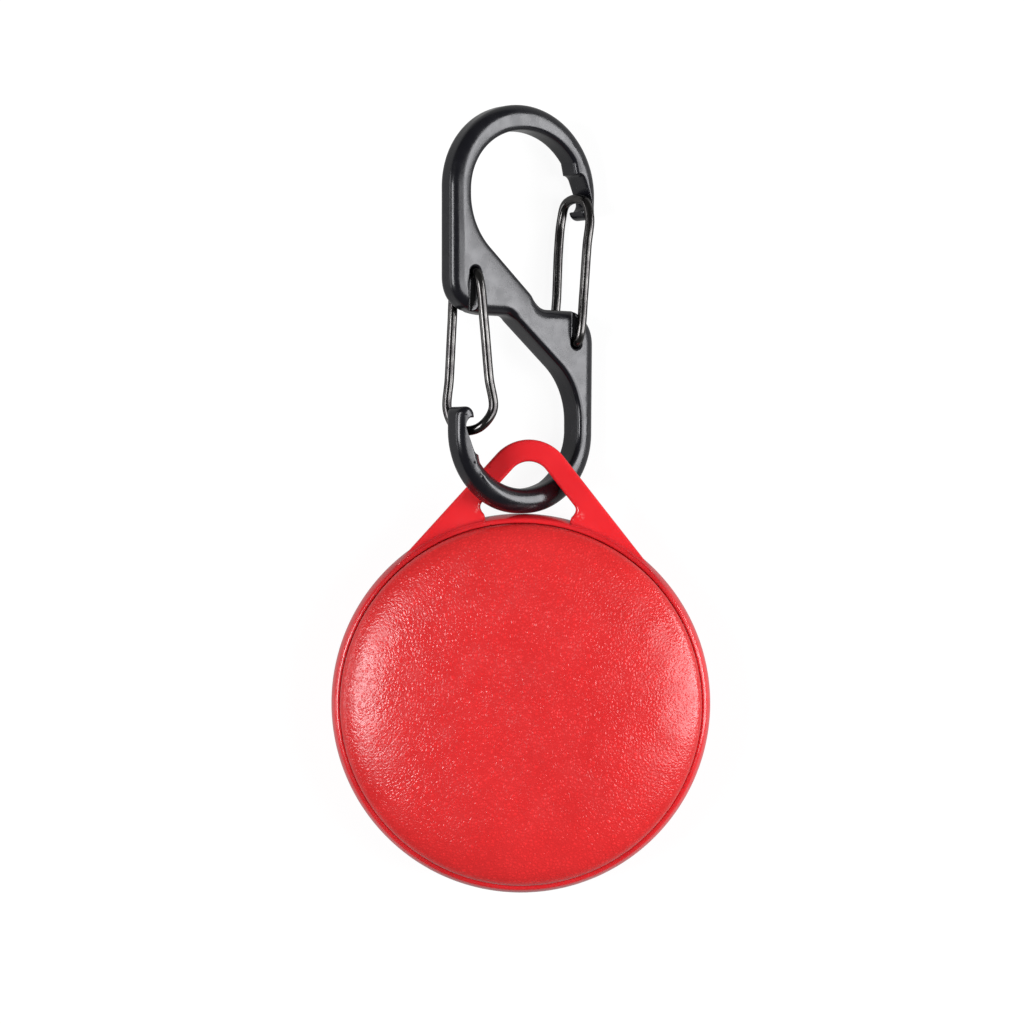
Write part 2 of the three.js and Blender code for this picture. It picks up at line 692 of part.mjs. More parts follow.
/**
 * A wire gate: two legs from the ends of the pivot hole, joined by a bend behind the nose.
 * front, middle and back are how far the two legs' ends and the bend stand out from the pivot.
 */
function gate(name, side, pivot, tip, { front, middle, back }) {
  const half = hookThickness / 2;
  const legHeight = half + gateFaceGap + wireRadius;
  const length = tip + pivotAlong;
  const place = (across, along, through) =>
    new THREE.Vector3(side * (pivot + across), side * (along - pivotAlong), through);
  const leg = (shift, sign) => [
    place(0, 0, sign * (half - gateEndDepth)),
    place(0, wireRadius / 4, sign * (legHeight - wireRadius)),
    place(0, wireRadius * 2, sign * legHeight),
    place(shift / 3, length / 3, sign * (legHeight + (gateHalfWidth - legHeight) / 2)),
    place((shift * 2) / 3, (length * 2) / 3, sign * gateHalfWidth),
    place(shift, length - gateBendRadius, sign * gateHalfWidth),
  ];
  const turn = (shift, sign) => place(
    middle + (shift - middle) * bendAcrossShare,
    length - gateBendRadius * bendDropShare,
    sign * gateHalfWidth * bendThroughShare,
  );
  const bend = [turn(front, 1), place(middle, length, 0), turn(back, -1)];
  const route = new THREE.CatmullRomCurve3([...leg(front, 1), ...bend, ...leg(back, -1).reverse()]);
  const section = new THREE.Shape().absarc(0, 0, wireRadius, 0, 2 * Math.PI, false);
  const geometry = new THREE.ExtrudeGeometry(section, {
    steps: WIRE_STEPS,
    curveSegments: SLOT_SEGMENTS,
    bevelEnabled: false,
    extrudePath: route,
  });
  return piece(name, geometry, materials.blackWire);
}

/** The case and everything that it holds. */
function clicker() {
  const group = new THREE.Group();
  group.add(backLeather(), backCover(), frameRing(), discRetainer(), snapDisc(), plunger(),
    frontButton(), frontLeather());
  around(fixingRadius, SCREW_START).forEach(({ x, y }, i) => {
    group.add(screw(`case_screw_${i + 1}`, caseScrewSizes, [x, y, caseHeadBottom], false));
  });
  around(retainerScrewCircle, SPRING_START).forEach(({ x, y }, i) => {
    const place = [x, y, retainerTop + retainerScrewHeadHeight];
    group.add(screw(`retainer_screw_${i + 1}`, retainerScrewSizes, place, true));
  });
  around(fixingRadius, SPRING_START).forEach(({ x, y }, i) => {
    const mesh = coil(`return_spring_${i + 1}`, deckTop + springSeatGap, crownBase - springSeatGap);
    mesh.position.set(x, y, 0);
    group.add(mesh);
  });
  return group;
}

/** The double hook with its two gates, in its own plane. */
function doubleHook() {
  const group = new THREE.Group();
  group.add(
    hookBody(),
    gate('upper_gate', 1, upperPivot, gateUpperTip,
      { front: upperSplay, middle: upperSplay, back: upperSplay }),
    gate('lower_gate', -1, lowerPivot, gateLowerTip,
      { front: -gateTwist, middle: lowerSplay, back: gateTwist * gateBackShare }),
  );
  return group;
}

const part = new THREE.Group();
part.add(clicker());

const hook = doubleHook();
const eyeFloor = discRadius - lugEyeInset;
hook.rotation.y = hookTilt;
hook.position.set(
  hookSideShift,
  eyeFloor + hookRestGap + hookLengthDown,
  lugMidHeight + hookCrossing * Math.sin(hookTilt),
);
const hang = new THREE.Group();
hang.rotation.z = hangLean;
hang.add(hook);
part.add(hang);

export default part;
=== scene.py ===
import logging
import math
from dataclasses import dataclass
from enum import Enum
from typing import Callable

import bmesh
import bpy
import numpy as np
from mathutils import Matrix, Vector
from mathutils.geometry import delaunay_2d_cdt


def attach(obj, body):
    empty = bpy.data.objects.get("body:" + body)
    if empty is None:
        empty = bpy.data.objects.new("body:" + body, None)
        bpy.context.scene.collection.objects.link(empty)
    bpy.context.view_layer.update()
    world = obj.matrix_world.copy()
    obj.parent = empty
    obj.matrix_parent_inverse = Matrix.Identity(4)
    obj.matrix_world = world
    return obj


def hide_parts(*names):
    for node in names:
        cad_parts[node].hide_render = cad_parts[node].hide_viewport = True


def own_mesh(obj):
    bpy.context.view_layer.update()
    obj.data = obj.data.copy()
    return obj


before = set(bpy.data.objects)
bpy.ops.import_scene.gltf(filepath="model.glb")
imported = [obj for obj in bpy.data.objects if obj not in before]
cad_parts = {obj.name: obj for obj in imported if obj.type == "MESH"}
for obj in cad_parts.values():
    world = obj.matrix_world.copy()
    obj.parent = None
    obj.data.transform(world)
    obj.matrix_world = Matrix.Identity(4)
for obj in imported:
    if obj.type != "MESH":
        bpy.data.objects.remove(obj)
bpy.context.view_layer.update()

LOG = logging.getLogger("clicker")
MM = 0.001
CHUNK = 2000  # points that a loop's distances are worked out for at a time
Array = np.ndarray
Object = bpy.types.Object
Node = bpy.types.Node
Socket = bpy.types.NodeSocket
Stops = tuple[tuple[float, str | float], ...]


# Shader helpers


def linear(code: str) -> tuple[float, float, float, float]:
    """Turns a written sRGB colour into the linear one that shaders take.

    Args:
        code: The colour as six hex digits, with or without a leading mark.

    Returns:
        Red, green, blue and an opaque alpha.
    """
    digits = code.lstrip("#")
    channels = [int(digits[i:i + 2], 16) / 255 for i in (0, 2, 4)]
    lifted = [c / 12.92 if c <= 0.04045 else ((c + 0.055) / 1.055) ** 2.4 for c in channels]
    return (*lifted, 1.0)


def per_mm(size: float) -> float:
    """The texture scale at which a pattern repeats about every `size` millimetres."""
    return 1 / (size * MM)


class Board:
    """The nodes of one material or world, with the coordinates that its patterns lie on.

    A pattern's lumps or cells are about `size` millimetres across.
    """

    place: Socket
    shader: Node

    def __init__(self, owner: bpy.types.Material | bpy.types.World) -> None:
        """Empties the owner's node tree.

        Args:
            owner: The material or world.
        """
        owner.use_nodes = True
        self.tree = owner.node_tree
        self.tree.nodes.clear()

    def feed(self, node: Node, inputs: dict) -> None:
        """Links sockets to a node's inputs, and sets its other inputs to plain values.

        Args:
            node: The node.
            inputs: Input name or number to a value, or to the socket that feeds it.
        """
        for key, value in inputs.items():
            if isinstance(value, Socket):
                self.tree.links.new(value, node.inputs[key])
            else:
                node.inputs[key].default_value = value

    def add(self, kind: str, inputs: dict | None = None, **settings: object) -> Node:
        """Adds one node with its settings, values and links.

        Args:
            kind: Blender's name of the node.
            inputs: Input name or number to a value, or to the socket that feeds it.
            settings: Properties of the node itself.

        Returns:
            The new node.
        """
        node = self.tree.nodes.new(kind)
        for name, value in settings.items():
            setattr(node, name, value)
        self.feed(node, inputs or {})
        return node

    def ramp(self, factor: Socket, stops: Stops) -> Socket:
        """Adds a colour ramp.

        Args:
            factor: What drives it.
            stops: Pairs of place and colour code, or place and grey level.

        Returns:
            The ramp's colour socket.
        """
        node = self.add("ShaderNodeValToRGB", {"Fac": factor})
        elements = node.color_ramp.elements
        while len(elements) < len(stops):
            elements.new(1.0)
        for element, (place, colour) in zip(elements, stops):
            element.position = place
            element.color = linear(colour) if isinstance(colour, str) else (*[colour] * 3, 1)
        return node.outputs["Color"]

    def noise(self, size: float, detail: float = 2.0, rough: float = 0.5) -> Node:
        """A noise texture."""
        return self.add("ShaderNodeTexNoise", {
            "Vector": self.place, "Scale": per_mm(size), "Detail": detail, "Roughness": rough})

    def patches(self, size: float, stops: Stops, detail: float = 2.0, rough: float = 0.5) -> Socket:
        """A ramp over noise."""
        return self.ramp(self.noise(size, detail, rough).outputs["Fac"], stops)

    def sheen(self, size: float, rough: float, spread: tuple[float, float], low: float = 0.3,
              detail: float = 3.0) -> Socket:
        """A roughness that drifts from `rough` less the first spread to it plus the second."""
        return self.patches(size, ((low, rough - spread[0]), (0.7, rough + spread[1])), detail)

    def cells(self, size: float, place: Socket, **settings: object) -> Socket:
        """The distance output of random cells laid on the given coordinates."""
        return self.add("ShaderNodeTexVoronoi", {"Vector": place, "Scale": per_mm(size)},
                        **settings).outputs["Distance"]

    def rising(self, value: Socket, top: float) -> Socket:
        """A smooth step from 0 to 1 as a value goes from 0 to `top`."""
        return self.add("ShaderNodeMapRange", {"Value": value, "From Max": top},
                        interpolation_type="SMOOTHSTEP").outputs[0]

    def bump(self, height: Socket, depth: float, strength: float,
             normal: Socket | None = None) -> Socket:
        """Turns a height of 0 to 1 into a bumped normal.

        Args:
            height: The height's socket.
            depth: What a height of 1 stands for, in millimetres.
            strength: The share of the bump that shows.
            normal: A bump that this one lies over.

        Returns:
            The normal's socket.
        """
        inputs = {"Height": height, "Distance": depth * MM, "Strength": strength}
        if normal:
            inputs["Normal"] = normal
        return self.add("ShaderNodeBump", inputs).outputs["Normal"]

    def grain(self, size: float, pair: tuple[float, float], detail: float = 2.0,
              rough: float = 0.5, normal: Socket | None = None) -> Socket:
        """A bump of noise, its depth and strength given as a pair."""
        return self.bump(self.noise(size, detail, rough).outputs["Fac"], *pair, normal)

    def mixed(self, factor: float | Socket, first: str | Socket, second: str | Socket,
              blend: str = "MIX") -> Socket:
        """Mixes two colours.

        Args:
            factor: A number or the socket that drives the mix.
            first: The colour at 0, as a code or a socket.
            second: The colour at 1, as a code or a socket.
            blend: Blender's name of the way to mix.

        Returns:
            The mixed colour's socket.
        """
        colours = {key: linear(value) if isinstance(value, str) else value
                   for key, value in ((6, first), (7, second))}
        return self.add("ShaderNodeMix", {0: factor, **colours}, data_type="RGBA",
                        blend_type=blend).outputs[2]

    def maths(self, operation: str, first: float | Socket, second: float | Socket) -> Socket:
        """One arithmetic step on two values."""
        return self.add("ShaderNodeMath", {0: first, 1: second}, operation=operation).outputs[0]

    def vectors(self, operation: str, first: Socket, second: object) -> Socket:
        """One arithmetic step on two vectors."""
        return self.add("ShaderNodeVectorMath", {0: first, 1: second}, operation=operation).outputs[0]


class Finish:
    """What every finish shares: a named material with one shader on object coordinates."""

    name: str

    def build(self, board: Board) -> None:
        """Sets the shader's values and adds the pattern nodes.

        Args:
            board: The material's nodes.
        """
        raise NotImplementedError

    def material(self) -> bpy.types.Material:
        """Makes the material once and hands it out again afterwards.

        Returns:
            The material of this finish's name.
        """
        kept = bpy.data.materials.get(self.name)
        if kept:
            return kept
        made = bpy.data.materials.new(self.name)
        board = Board(made)
        board.place = board.add("ShaderNodeTexCoord").outputs["Object"]
        board.shader = board.add("ShaderNodeBsdfPrincipled")
        board.add("ShaderNodeOutputMaterial", {"Surface": board.shader.outputs["BSDF"]})
        self.build(board)
        return made


# Finishes: sizes and bump depths in millimetres, bumps as pairs of depth and strength


@dataclass(frozen=True)
class CoatedLeather(Finish):
    """Pebbled PU leather: split backing under a coloured film, embossed with a fine round grain.

    The film is satin, so a lamp shows in it as a broad soft patch broken up by the pebbles.
    """

    name: str = "coated_leather_embossed_red"
    colour: str = "#E92D2E"
    deep: str = "#E12A2B"
    drift: float = 6.5
    pebble: float = 0.36
    pebble_slope: float = 0.5
    pebble_bump: tuple[float, float] = (0.042, 0.62)
    wrinkle: float = 1.0
    wrinkle_slope: float = 0.15
    wrinkle_bump: tuple[float, float] = (0.02, 0.3)
    wander: float = 0.7
    wander_reach: float = 0.35
    fine: float = 0.27
    fine_bump: tuple[float, float] = (0.02, 0.4)
    # painted shade: how dark the colour gets at the bottom of the grain's valleys
    valley_shade: float = 0.82
    rough: float = 0.26
    polish: float = 2.6
    polish_range: tuple[float, float] = (0.06, 0.07)
    coat: float = 0.12
    coat_rough: float = 0.2

    def build(self, board: Board) -> None:
        """Pebbles from cell edges on a wandering grid, with longer creases laid over them, and painted
        shade that darkens the colour in their valleys.

        Args:
            board: The material's nodes.
        """
        wander = board.noise(self.wander, detail=3.0).outputs["Color"]
        shift = board.vectors("SUBTRACT", wander, (0.5, 0.5, 0.5))
        scaled = board.add("ShaderNodeVectorMath", {0: shift, "Scale": self.wander_reach * MM},
                           operation="SCALE").outputs[0]
        moved = board.vectors("ADD", board.place, scaled)
        pebbles, creases = (
            board.rising(board.cells(size, moved, feature="DISTANCE_TO_EDGE"), slope)
            for size, slope in ((self.pebble, self.pebble_slope), (self.wrinkle, self.wrinkle_slope)))
        first = board.bump(creases, *self.wrinkle_bump)
        second = board.bump(pebbles, *self.pebble_bump, first)
        final = board.grain(self.fine, self.fine_bump, detail=3.0, rough=0.6, normal=second)
        shade = board.patches(self.drift, ((0.3, self.deep), (0.62, self.colour)), detail=3.0)
        # Painted shade: the colour is darkened where the pebbles and creases sink
        valley_shade = board.maths("MULTIPLY", pebbles, creases)
        depth = board.ramp(valley_shade, ((0.0, self.valley_shade), (0.5, 1.0)))
        polish = board.sheen(self.polish, self.rough, self.polish_range)
        board.feed(board.shader, {
            "Base Color": board.mixed(1.0, shade, depth, "MULTIPLY"), "Roughness": polish,
            "Normal": final, "IOR": 1.5, "Coat Weight": self.coat, "Coat Roughness": self.coat_rough})


@dataclass(frozen=True)
class GlossyMoulding(Finish):
    """Injection-moulded ABS from a polished tool: glossy, slightly wavy, glowing at thin edges."""

    name: str = "moulded_abs_gloss_red"
    colour: str = "#E92B31"
    flow: str = "#DC2229"
    flow_size: float = 9.0
    speck: str = "#B81B20"
    speck_gap: float = 2.3
    # painted highlight: the pale colour laid on the lug's inner corners, broken up by grit
    corner_highlight: str = "#F6A8A4"
    corner_highlight_grit: float = 0.32
    corners: tuple[tuple[float, float, float], ...] = ((-5.3, 20.3, 8.1), (5.5, 19.95, 8.1))
    reach: float = 0.7
    wave: float = 3.4
    wave_bump: tuple[float, float] = (0.02, 0.3)
    skin: float = 0.3
    skin_bump: tuple[float, float] = (0.004, 0.4)
    rough: float = 0.16
    polish: float = 1.7
    polish_range: tuple[float, float] = (0.03, 0.08)
    glow: float = 0.3
    glow_depth: float = 1.2
    glow_colours: tuple[float, float, float] = (1.0, 0.18, 0.14)

    def build(self, board: Board) -> None:
        """Faint flow shades, sink waves some millimetres long and a sparse dust of tiny specks.

        Pale patches of painted highlight lie on the lug's inner corners, broken up by grit: each fades
        out with the distance from its corner.

        Args:
            board: The material's nodes.
        """
        shade = board.patches(self.flow_size, ((0.35, self.flow), (0.65, self.colour)))
        mask = board.ramp(board.cells(self.speck_gap, board.place), ((0.035, 1.0), (0.06, 0.0)))
        base = board.mixed(mask, shade, self.speck)
        grit = board.patches(self.corner_highlight_grit, ((0.46, 0.0), (0.55, 1.0)))
        # Painted highlight: a pale patch round each lug corner, fading with the distance from it
        for spot in self.corners:
            corner = tuple(value * MM for value in spot)
            away = board.add("ShaderNodeVectorMath", {0: board.place, 1: corner}, operation="DISTANCE")
            close = board.add("ShaderNodeMapRange", {
                "Value": away.outputs["Value"], "From Max": self.reach * MM, "To Min": 0.9,
                "To Max": 0.0})
            base = board.mixed(board.maths("MULTIPLY", close.outputs[0], grit), base, self.corner_highlight)
        waves = board.grain(self.wave, self.wave_bump)
        skin = board.grain(self.skin, self.skin_bump, normal=waves)
        polish = board.sheen(self.polish, self.rough, self.polish_range, low=0.35)
        board.feed(board.shader, {
            "Base Color": base, "Roughness": polish, "Normal": skin, "IOR": 1.54,
            "Subsurface Weight": self.glow, "Subsurface Radius": self.glow_colours,
            "Subsurface Scale": self.glow_depth * MM})


@dataclass(frozen=True)
class PowderCoat(Finish):
    """Zinc die casting with a black baked coat: satin, a slight orange peel, a few pinholes."""

    name: str = "zinc_casting_black_coat"
    colour: str = "#101015"
    worn: str = "#22222A"
    rub: float = 2.2
    pinhole_gap: float = 2.4
    pinhole_bump: tuple[float, float] = (0.03, 0.6)
    peel: float = 0.75
    peel_bump: tuple[float, float] = (0.01, 0.35)
    grit: float = 0.14
    grit_bump: tuple[float, float] = (0.005, 0.5)
    rough: float = 0.24
    polish: float = 1.4
    polish_range: tuple[float, float] = (0.04, 0.08)
    specular: float = 0.4
    coat: float = 0.15
    coat_rough: float = 0.1

    def build(self, board: Board) -> None:
        """Orange peel under a millimetre long, rare pinholes and paler rubbed spots.

        Args:
            board: The material's nodes.
        """
        rub = board.patches(self.rub, ((0.62, 0.0), (0.8, 0.35)), detail=4.0, rough=0.65)
        pits = board.ramp(board.cells(self.pinhole_gap, board.place), ((0.015, 0.0), (0.04, 1.0)))
        peel = board.grain(self.peel, self.peel_bump)
        grit = board.grain(self.grit, self.grit_bump, detail=3.0, rough=0.6, normal=peel)
        polish = board.sheen(self.polish, self.rough, self.polish_range)
        board.feed(board.shader, {
            "Base Color": board.mixed(rub, self.colour, self.worn), "Roughness": polish,
            "Normal": board.bump(pits, *self.pinhole_bump, grit), "Specular IOR Level": self.specular,
            "Coat Weight": self.coat, "Coat Roughness": self.coat_rough})


@dataclass(frozen=True)
class BarePlate(Finish):
    """A metal surface: drawn, plated or turned, told apart by colour and roughness."""

    name: str
    colour: str
    stain: str
    rough: float
    drift: float = 1.6
    grain: float = 0.12
    grain_bump: tuple[float, float] = (0.006, 0.4)

    def build(self, board: Board) -> None:
        """Fine drawing marks, a slow drift of polish and a thin stain of the second colour.

        Args:
            board: The material's nodes.
        """
        drift = board.noise(self.drift, detail=3.0).outputs["Fac"]
        board.feed(board.shader, {
            "Base Color": board.ramp(drift, ((0.35, self.stain), (0.62, self.colour))),
            "Roughness": board.ramp(drift, ((0.3, self.rough + 0.08), (0.7, self.rough))),
            "Normal": board.grain(self.grain, self.grain_bump), "Metallic": 1.0})


@dataclass(frozen=True)
class MattePolymer(Finish):
    """A plain moulded or rubber surface with a fine spark-eroded texture."""

    name: str
    colour: str
    shade: str
    rough: float
    drift: float = 3.0
    polish: float = 1.2
    polish_range: tuple[float, float] = (0.05, 0.05)
    grain: float = 0.2
    grain_bump: tuple[float, float] = (0.012, 0.5)

    def build(self, board: Board) -> None:
        """Spark texture at its real grit, and a slow shade across the piece.

        Args:
            board: The material's nodes.
        """
        board.feed(board.shader, {
            "Base Color": board.patches(self.drift, ((0.35, self.shade), (0.65, self.colour))),
            "Roughness": board.sheen(self.polish, self.rough, self.polish_range, detail=2.0),
            "Normal": board.grain(self.grain, self.grain_bump, detail=3.0)})


class Surface(Enum):
    """The finishes of this object's pieces."""

    LEATHER = CoatedLeather()
    GLOSS = GlossyMoulding()
    COAT = PowderCoat()
    WIRE = BarePlate("steel_wire_black_plated", "#5A5957", "#413F3F", rough=0.16)
    SPRING = BarePlate("spring_steel_drawn", "#B9BBBE", "#96989C", rough=0.26)
    ZINC = BarePlate("steel_screw_zinc_plated", "#A9ACB0", "#8B8A84", rough=0.34)
    CARRIER = MattePolymer("moulded_acetal_white", "#E9E6DF", "#DDD9CF", rough=0.45)
    RUBBER = MattePolymer("moulded_rubber_black", "#1C1C1E", "#141416", rough=0.7)


# Mesh helpers


def add_object(name: str, data: bpy.types.ID) -> Object:
    """Puts an object of some data into the scene.

    Args:
        name: The object's name.
        data: Its mesh, lamp or camera.

    Returns:
        The object, at the origin.
    """
    made = bpy.data.objects.new(name, data)
    bpy.context.scene.collection.objects.link(made)
    return made


def make_object(name: str, corners: Array, faces: Array, flat: bool = False) -> Object:
    """Makes a mesh object from arrays.

    Args:
        name: The object's name.
        corners: Points in millimetres, one row each.
        faces: Corner numbers, one row of three or four for each face.
        flat: Whether faces are shaded flat.

    Returns:
        The object, at the origin, its place in its mesh.
    """
    mesh = bpy.data.meshes.new(name)
    sides = faces.shape[1]
    mesh.vertices.add(len(corners))
    mesh.vertices.foreach_set("co", (corners * MM).astype(np.float32).ravel())
    mesh.loops.add(faces.size)
    mesh.loops.foreach_set("vertex_index", faces.astype(np.int32).ravel())
    mesh.polygons.add(len(faces))
    mesh.polygons.foreach_set("loop_start", np.arange(0, faces.size, sides, dtype=np.int32))
    mesh.polygons.foreach_set("use_smooth", np.full(len(faces), not flat))
    mesh.update(calc_edges=True)
    mesh.validate()
    return add_object(name, mesh)


def grid_faces(rows: int, columns: int, wrap_rows: bool, wrap_columns: bool) -> Array:
    """Quads of a grid of points numbered row by row, closed on itself where asked.

    Args:
        rows: Rows of points.
        columns: Points in each row.
        wrap_rows: Whether the last row joins the first.
        wrap_columns: Whether each row's last point joins its first.

    Returns:
        Corner numbers, one row of four for each face.
    """
    i, j = np.meshgrid(np.arange(rows if wrap_rows else rows - 1),
                       np.arange(columns if wrap_columns else columns - 1), indexing="ij")
    near, far = (i % rows) * columns, ((i + 1) % rows) * columns
    left, right = j % columns, (j + 1) % columns
    return np.stack([near + left, near + right, far + right, far + left], -1).reshape(-1, 4)


def weld(made: Object, gap: float = 0.0005) -> Object:
    """Merges corners that lie within `gap` millimetres and turns the faces outwards.

    Args:
        made: The mesh object.
        gap: The greatest gap between corners that are merged, in millimetres.

    Returns:
        The same object.
    """
    work = bmesh.new()
    work.from_mesh(made.data)
    bmesh.ops.remove_doubles(work, verts=work.verts, dist=gap * MM)
    bmesh.ops.dissolve_degenerate(work, edges=work.edges, dist=gap * MM / 10)
    bmesh.ops.recalc_face_normals(work, faces=work.faces)
    work.to_mesh(made.data)
    work.free()
    return made


def turned(name: str, profile: Array, segments: int, lift: Array | None = None) -> Object:
    """Turns a closed profile about the upright axis.

    Each profile point (radius, height) becomes a circle of equal steps. A point on the axis
    becomes one corner when the doubles are merged.

    Args:
        name: The object's name.
        profile: Pairs of radius and height in millimetres, the last joined to the first.
        segments: Steps round the circle.
        lift: Extra height of each point, one row for each profile point.

    Returns:
        The closed object.
    """
    angle = circle_angles(segments)
    radius, height = profile[:, :1], np.repeat(profile[:, 1:], segments, 1)
    if lift is not None:
        height = height + lift
    corners = np.stack([radius * np.cos(angle), radius * np.sin(angle), height], -1)
    return weld(make_object(name, corners.reshape(-1, 3),
                            grid_faces(len(profile), segments, True, True)))


def arc(centre: tuple[float, float], radius: float, start: float, stop: float,
        step: float = 0.1, tall: float | None = None) -> Array:
    """Points of an arc, from one angle to another, about `step` millimetres apart.

    Args:
        centre: The arc's centre.
        radius: Its radius, or its half width where `tall` is given.
        start: The first angle.
        stop: The last angle.
        step: Distance between points.
        tall: Half height of an ellipse's arc.

    Returns:
        The points, one row each.
    """
    count = max(3, int(abs(stop - start) * radius / step) + 1)
    angle = np.linspace(start, stop, count)
    return np.stack([centre[0] + radius * np.cos(angle),
                     centre[1] + (tall or radius) * np.sin(angle)], -1)


def bend(start: tuple[float, float], knee: tuple[float, float], stop: tuple[float, float],
         count: int = 24) -> Array:
    """Points of a quadratic curve that leaves `start` towards `knee` and ends at `stop`.

    Args:
        start: The first point.
        knee: Where the two ends' directions cross.
        stop: The last point.
        count: How many points.

    Returns:
        The points, one row each.
    """
    t = np.linspace(0, 1, count)[:, None]
    a, b, c = (np.array(p, float) for p in (start, knee, stop))
    return (1 - t) ** 2 * a + 2 * t * (1 - t) * b + t ** 2 * c


def even_loop(parts: list[Array], step: float) -> Array:
    """Joins runs of points into one closed loop of points `step` millimetres apart.

    The length along the loop is summed, and both coordinates are read off at equal lengths.

    Args:
        parts: Runs of points, in order.
        step: Distance between points along the loop.

    Returns:
        The loop's points.
    """
    points = np.vstack([np.atleast_2d(np.array(p, float)) for p in parts])
    points = np.vstack([points, points[:1]])
    length = np.concatenate([[0], np.cumsum(np.linalg.norm(np.diff(points, axis=0), axis=1))])
    keep = np.concatenate([[True], np.diff(length) > 1e-6])
    places = np.linspace(0, length[-1], int(length[-1] / step), endpoint=False)
    return np.stack([np.interp(places, length[keep], points[keep, k]) for k in (0, 1)], -1)


def loop_nearest(points: Array, loop: Array) -> tuple[Array, Array]:
    """Shortest distance from each point to a closed loop, and the number of the nearest side.

    Each point is projected on all of the loop's sides and held within their ends.

    Args:
        points: The points.
        loop: The loop's points.

    Returns:
        Each point's distance, and the number of its nearest side.
    """
    start, side = loop, np.roll(loop, -1, 0) - loop
    squared = (side ** 2).sum(1)
    best, owner = np.empty(len(points)), np.empty(len(points), int)
    for low in range(0, len(points), CHUNK):
        away = points[low:low + CHUNK, None] - start[None]
        share = np.clip((away * side[None]).sum(2) / squared, 0, 1)
        gaps = ((away - share[..., None] * side[None]) ** 2).sum(2)
        owner[low:low + CHUNK] = gaps.argmin(1)
        best[low:low + CHUNK] = np.sqrt(gaps.min(1))
    return best, owner


def loop_distance(points: Array, loop: Array) -> Array:
    """Shortest distance from each point to a closed loop."""
    return loop_nearest(points, loop)[0]


def loop_inside(points: Array, loop: Array) -> Array:
    """Whether each point is inside a closed loop, by counting the sides to its right.

    Args:
        points: The points.
        loop: The loop's points.

    Returns:
        One truth value for each point.
    """
    a, b = loop, np.roll(loop, -1, 0)
    hit = np.zeros(len(points), bool)
    for low in range(0, len(points), CHUNK):
        x, y = points[low:low + CHUNK, :1], points[low:low + CHUNK, 1:]
        spans = (a[:, 1] > y) != (b[:, 1] > y)
        rise = np.where(b[:, 1] == a[:, 1], 1, b[:, 1] - a[:, 1])
        cross = a[:, 0] + (y - a[:, 1]) * (b[:, 0] - a[:, 0]) / rise
        hit[low:low + CHUNK] = (spans & (x < cross)).sum(1) % 2 == 1
    return hit


def offset_loop(loop: Array, distance: float) -> Array:
    """The loop's points moved along their normals, to the left of its direction.

    Args:
        loop: The loop's points.
        distance: How far they move.

    Returns:
        The moved points.
    """
    along = unit(np.roll(loop, -1, 0) - np.roll(loop, 1, 0))
    return loop + distance * np.stack([-along[:, 1], along[:, 0]], -1)


def smooth(share: Array) -> Array:
    """A smooth step: three times the square less twice the cube."""
    return share * share * (3 - 2 * share)


def circle_angles(count: int) -> Array:
    """Equal steps once round a circle."""
    return np.linspace(0, 2 * np.pi, count, endpoint=False)


def unit(vectors: Array) -> Array:
    """Each row scaled to a length of 1."""
    return vectors / np.linalg.norm(vectors, axis=1, keepdims=True)


def rounding(distance: Array, radius: float | Array, deepest: float = 1.0) -> Array:
    """How far a rounded edge lies below its face: a quarter circle, squashed to `deepest`."""
    short = np.clip(radius - distance, 0, radius)
    return (radius - np.sqrt(radius ** 2 - short ** 2)) * np.minimum(1, deepest / radius)


@dataclass
class Groove:
    """A sunk track with round ends in both faces of a plate, in millimetres."""

    start: tuple[float, float]
    stop: tuple[float, float]
    radius: float
    depth: float

    def loop(self, radius: float, step: float = 0.1) -> Array:
        """The track's outline at another radius: two half circles joined by straight sides.

        Args:
            radius: The outline's distance from the track's middle line.
            step: Distance between points.

        Returns:
            The outline, anticlockwise.
        """
        turn = math.atan2(self.stop[1] - self.start[1], self.stop[0] - self.start[0])
        return even_loop([arc(self.start, radius, turn + np.pi / 2, turn + 1.5 * np.pi, step),
                          arc(self.stop, radius, turn - np.pi / 2, turn + np.pi / 2, step)], step)

    def distance(self, points: Array) -> Array:
        """Distance from the track's edge, negative inside: that to its middle line less its radius.

        Args:
            points: The points.

        Returns:
            One distance for each point.
        """
        start, side = np.array(self.start), np.subtract(self.stop, self.start)
        share = np.clip(((points - start) @ side) / max(side @ side, 1e-9), 0, 1)[:, None]
        return np.linalg.norm(points - start - share * side, axis=1) - self.radius


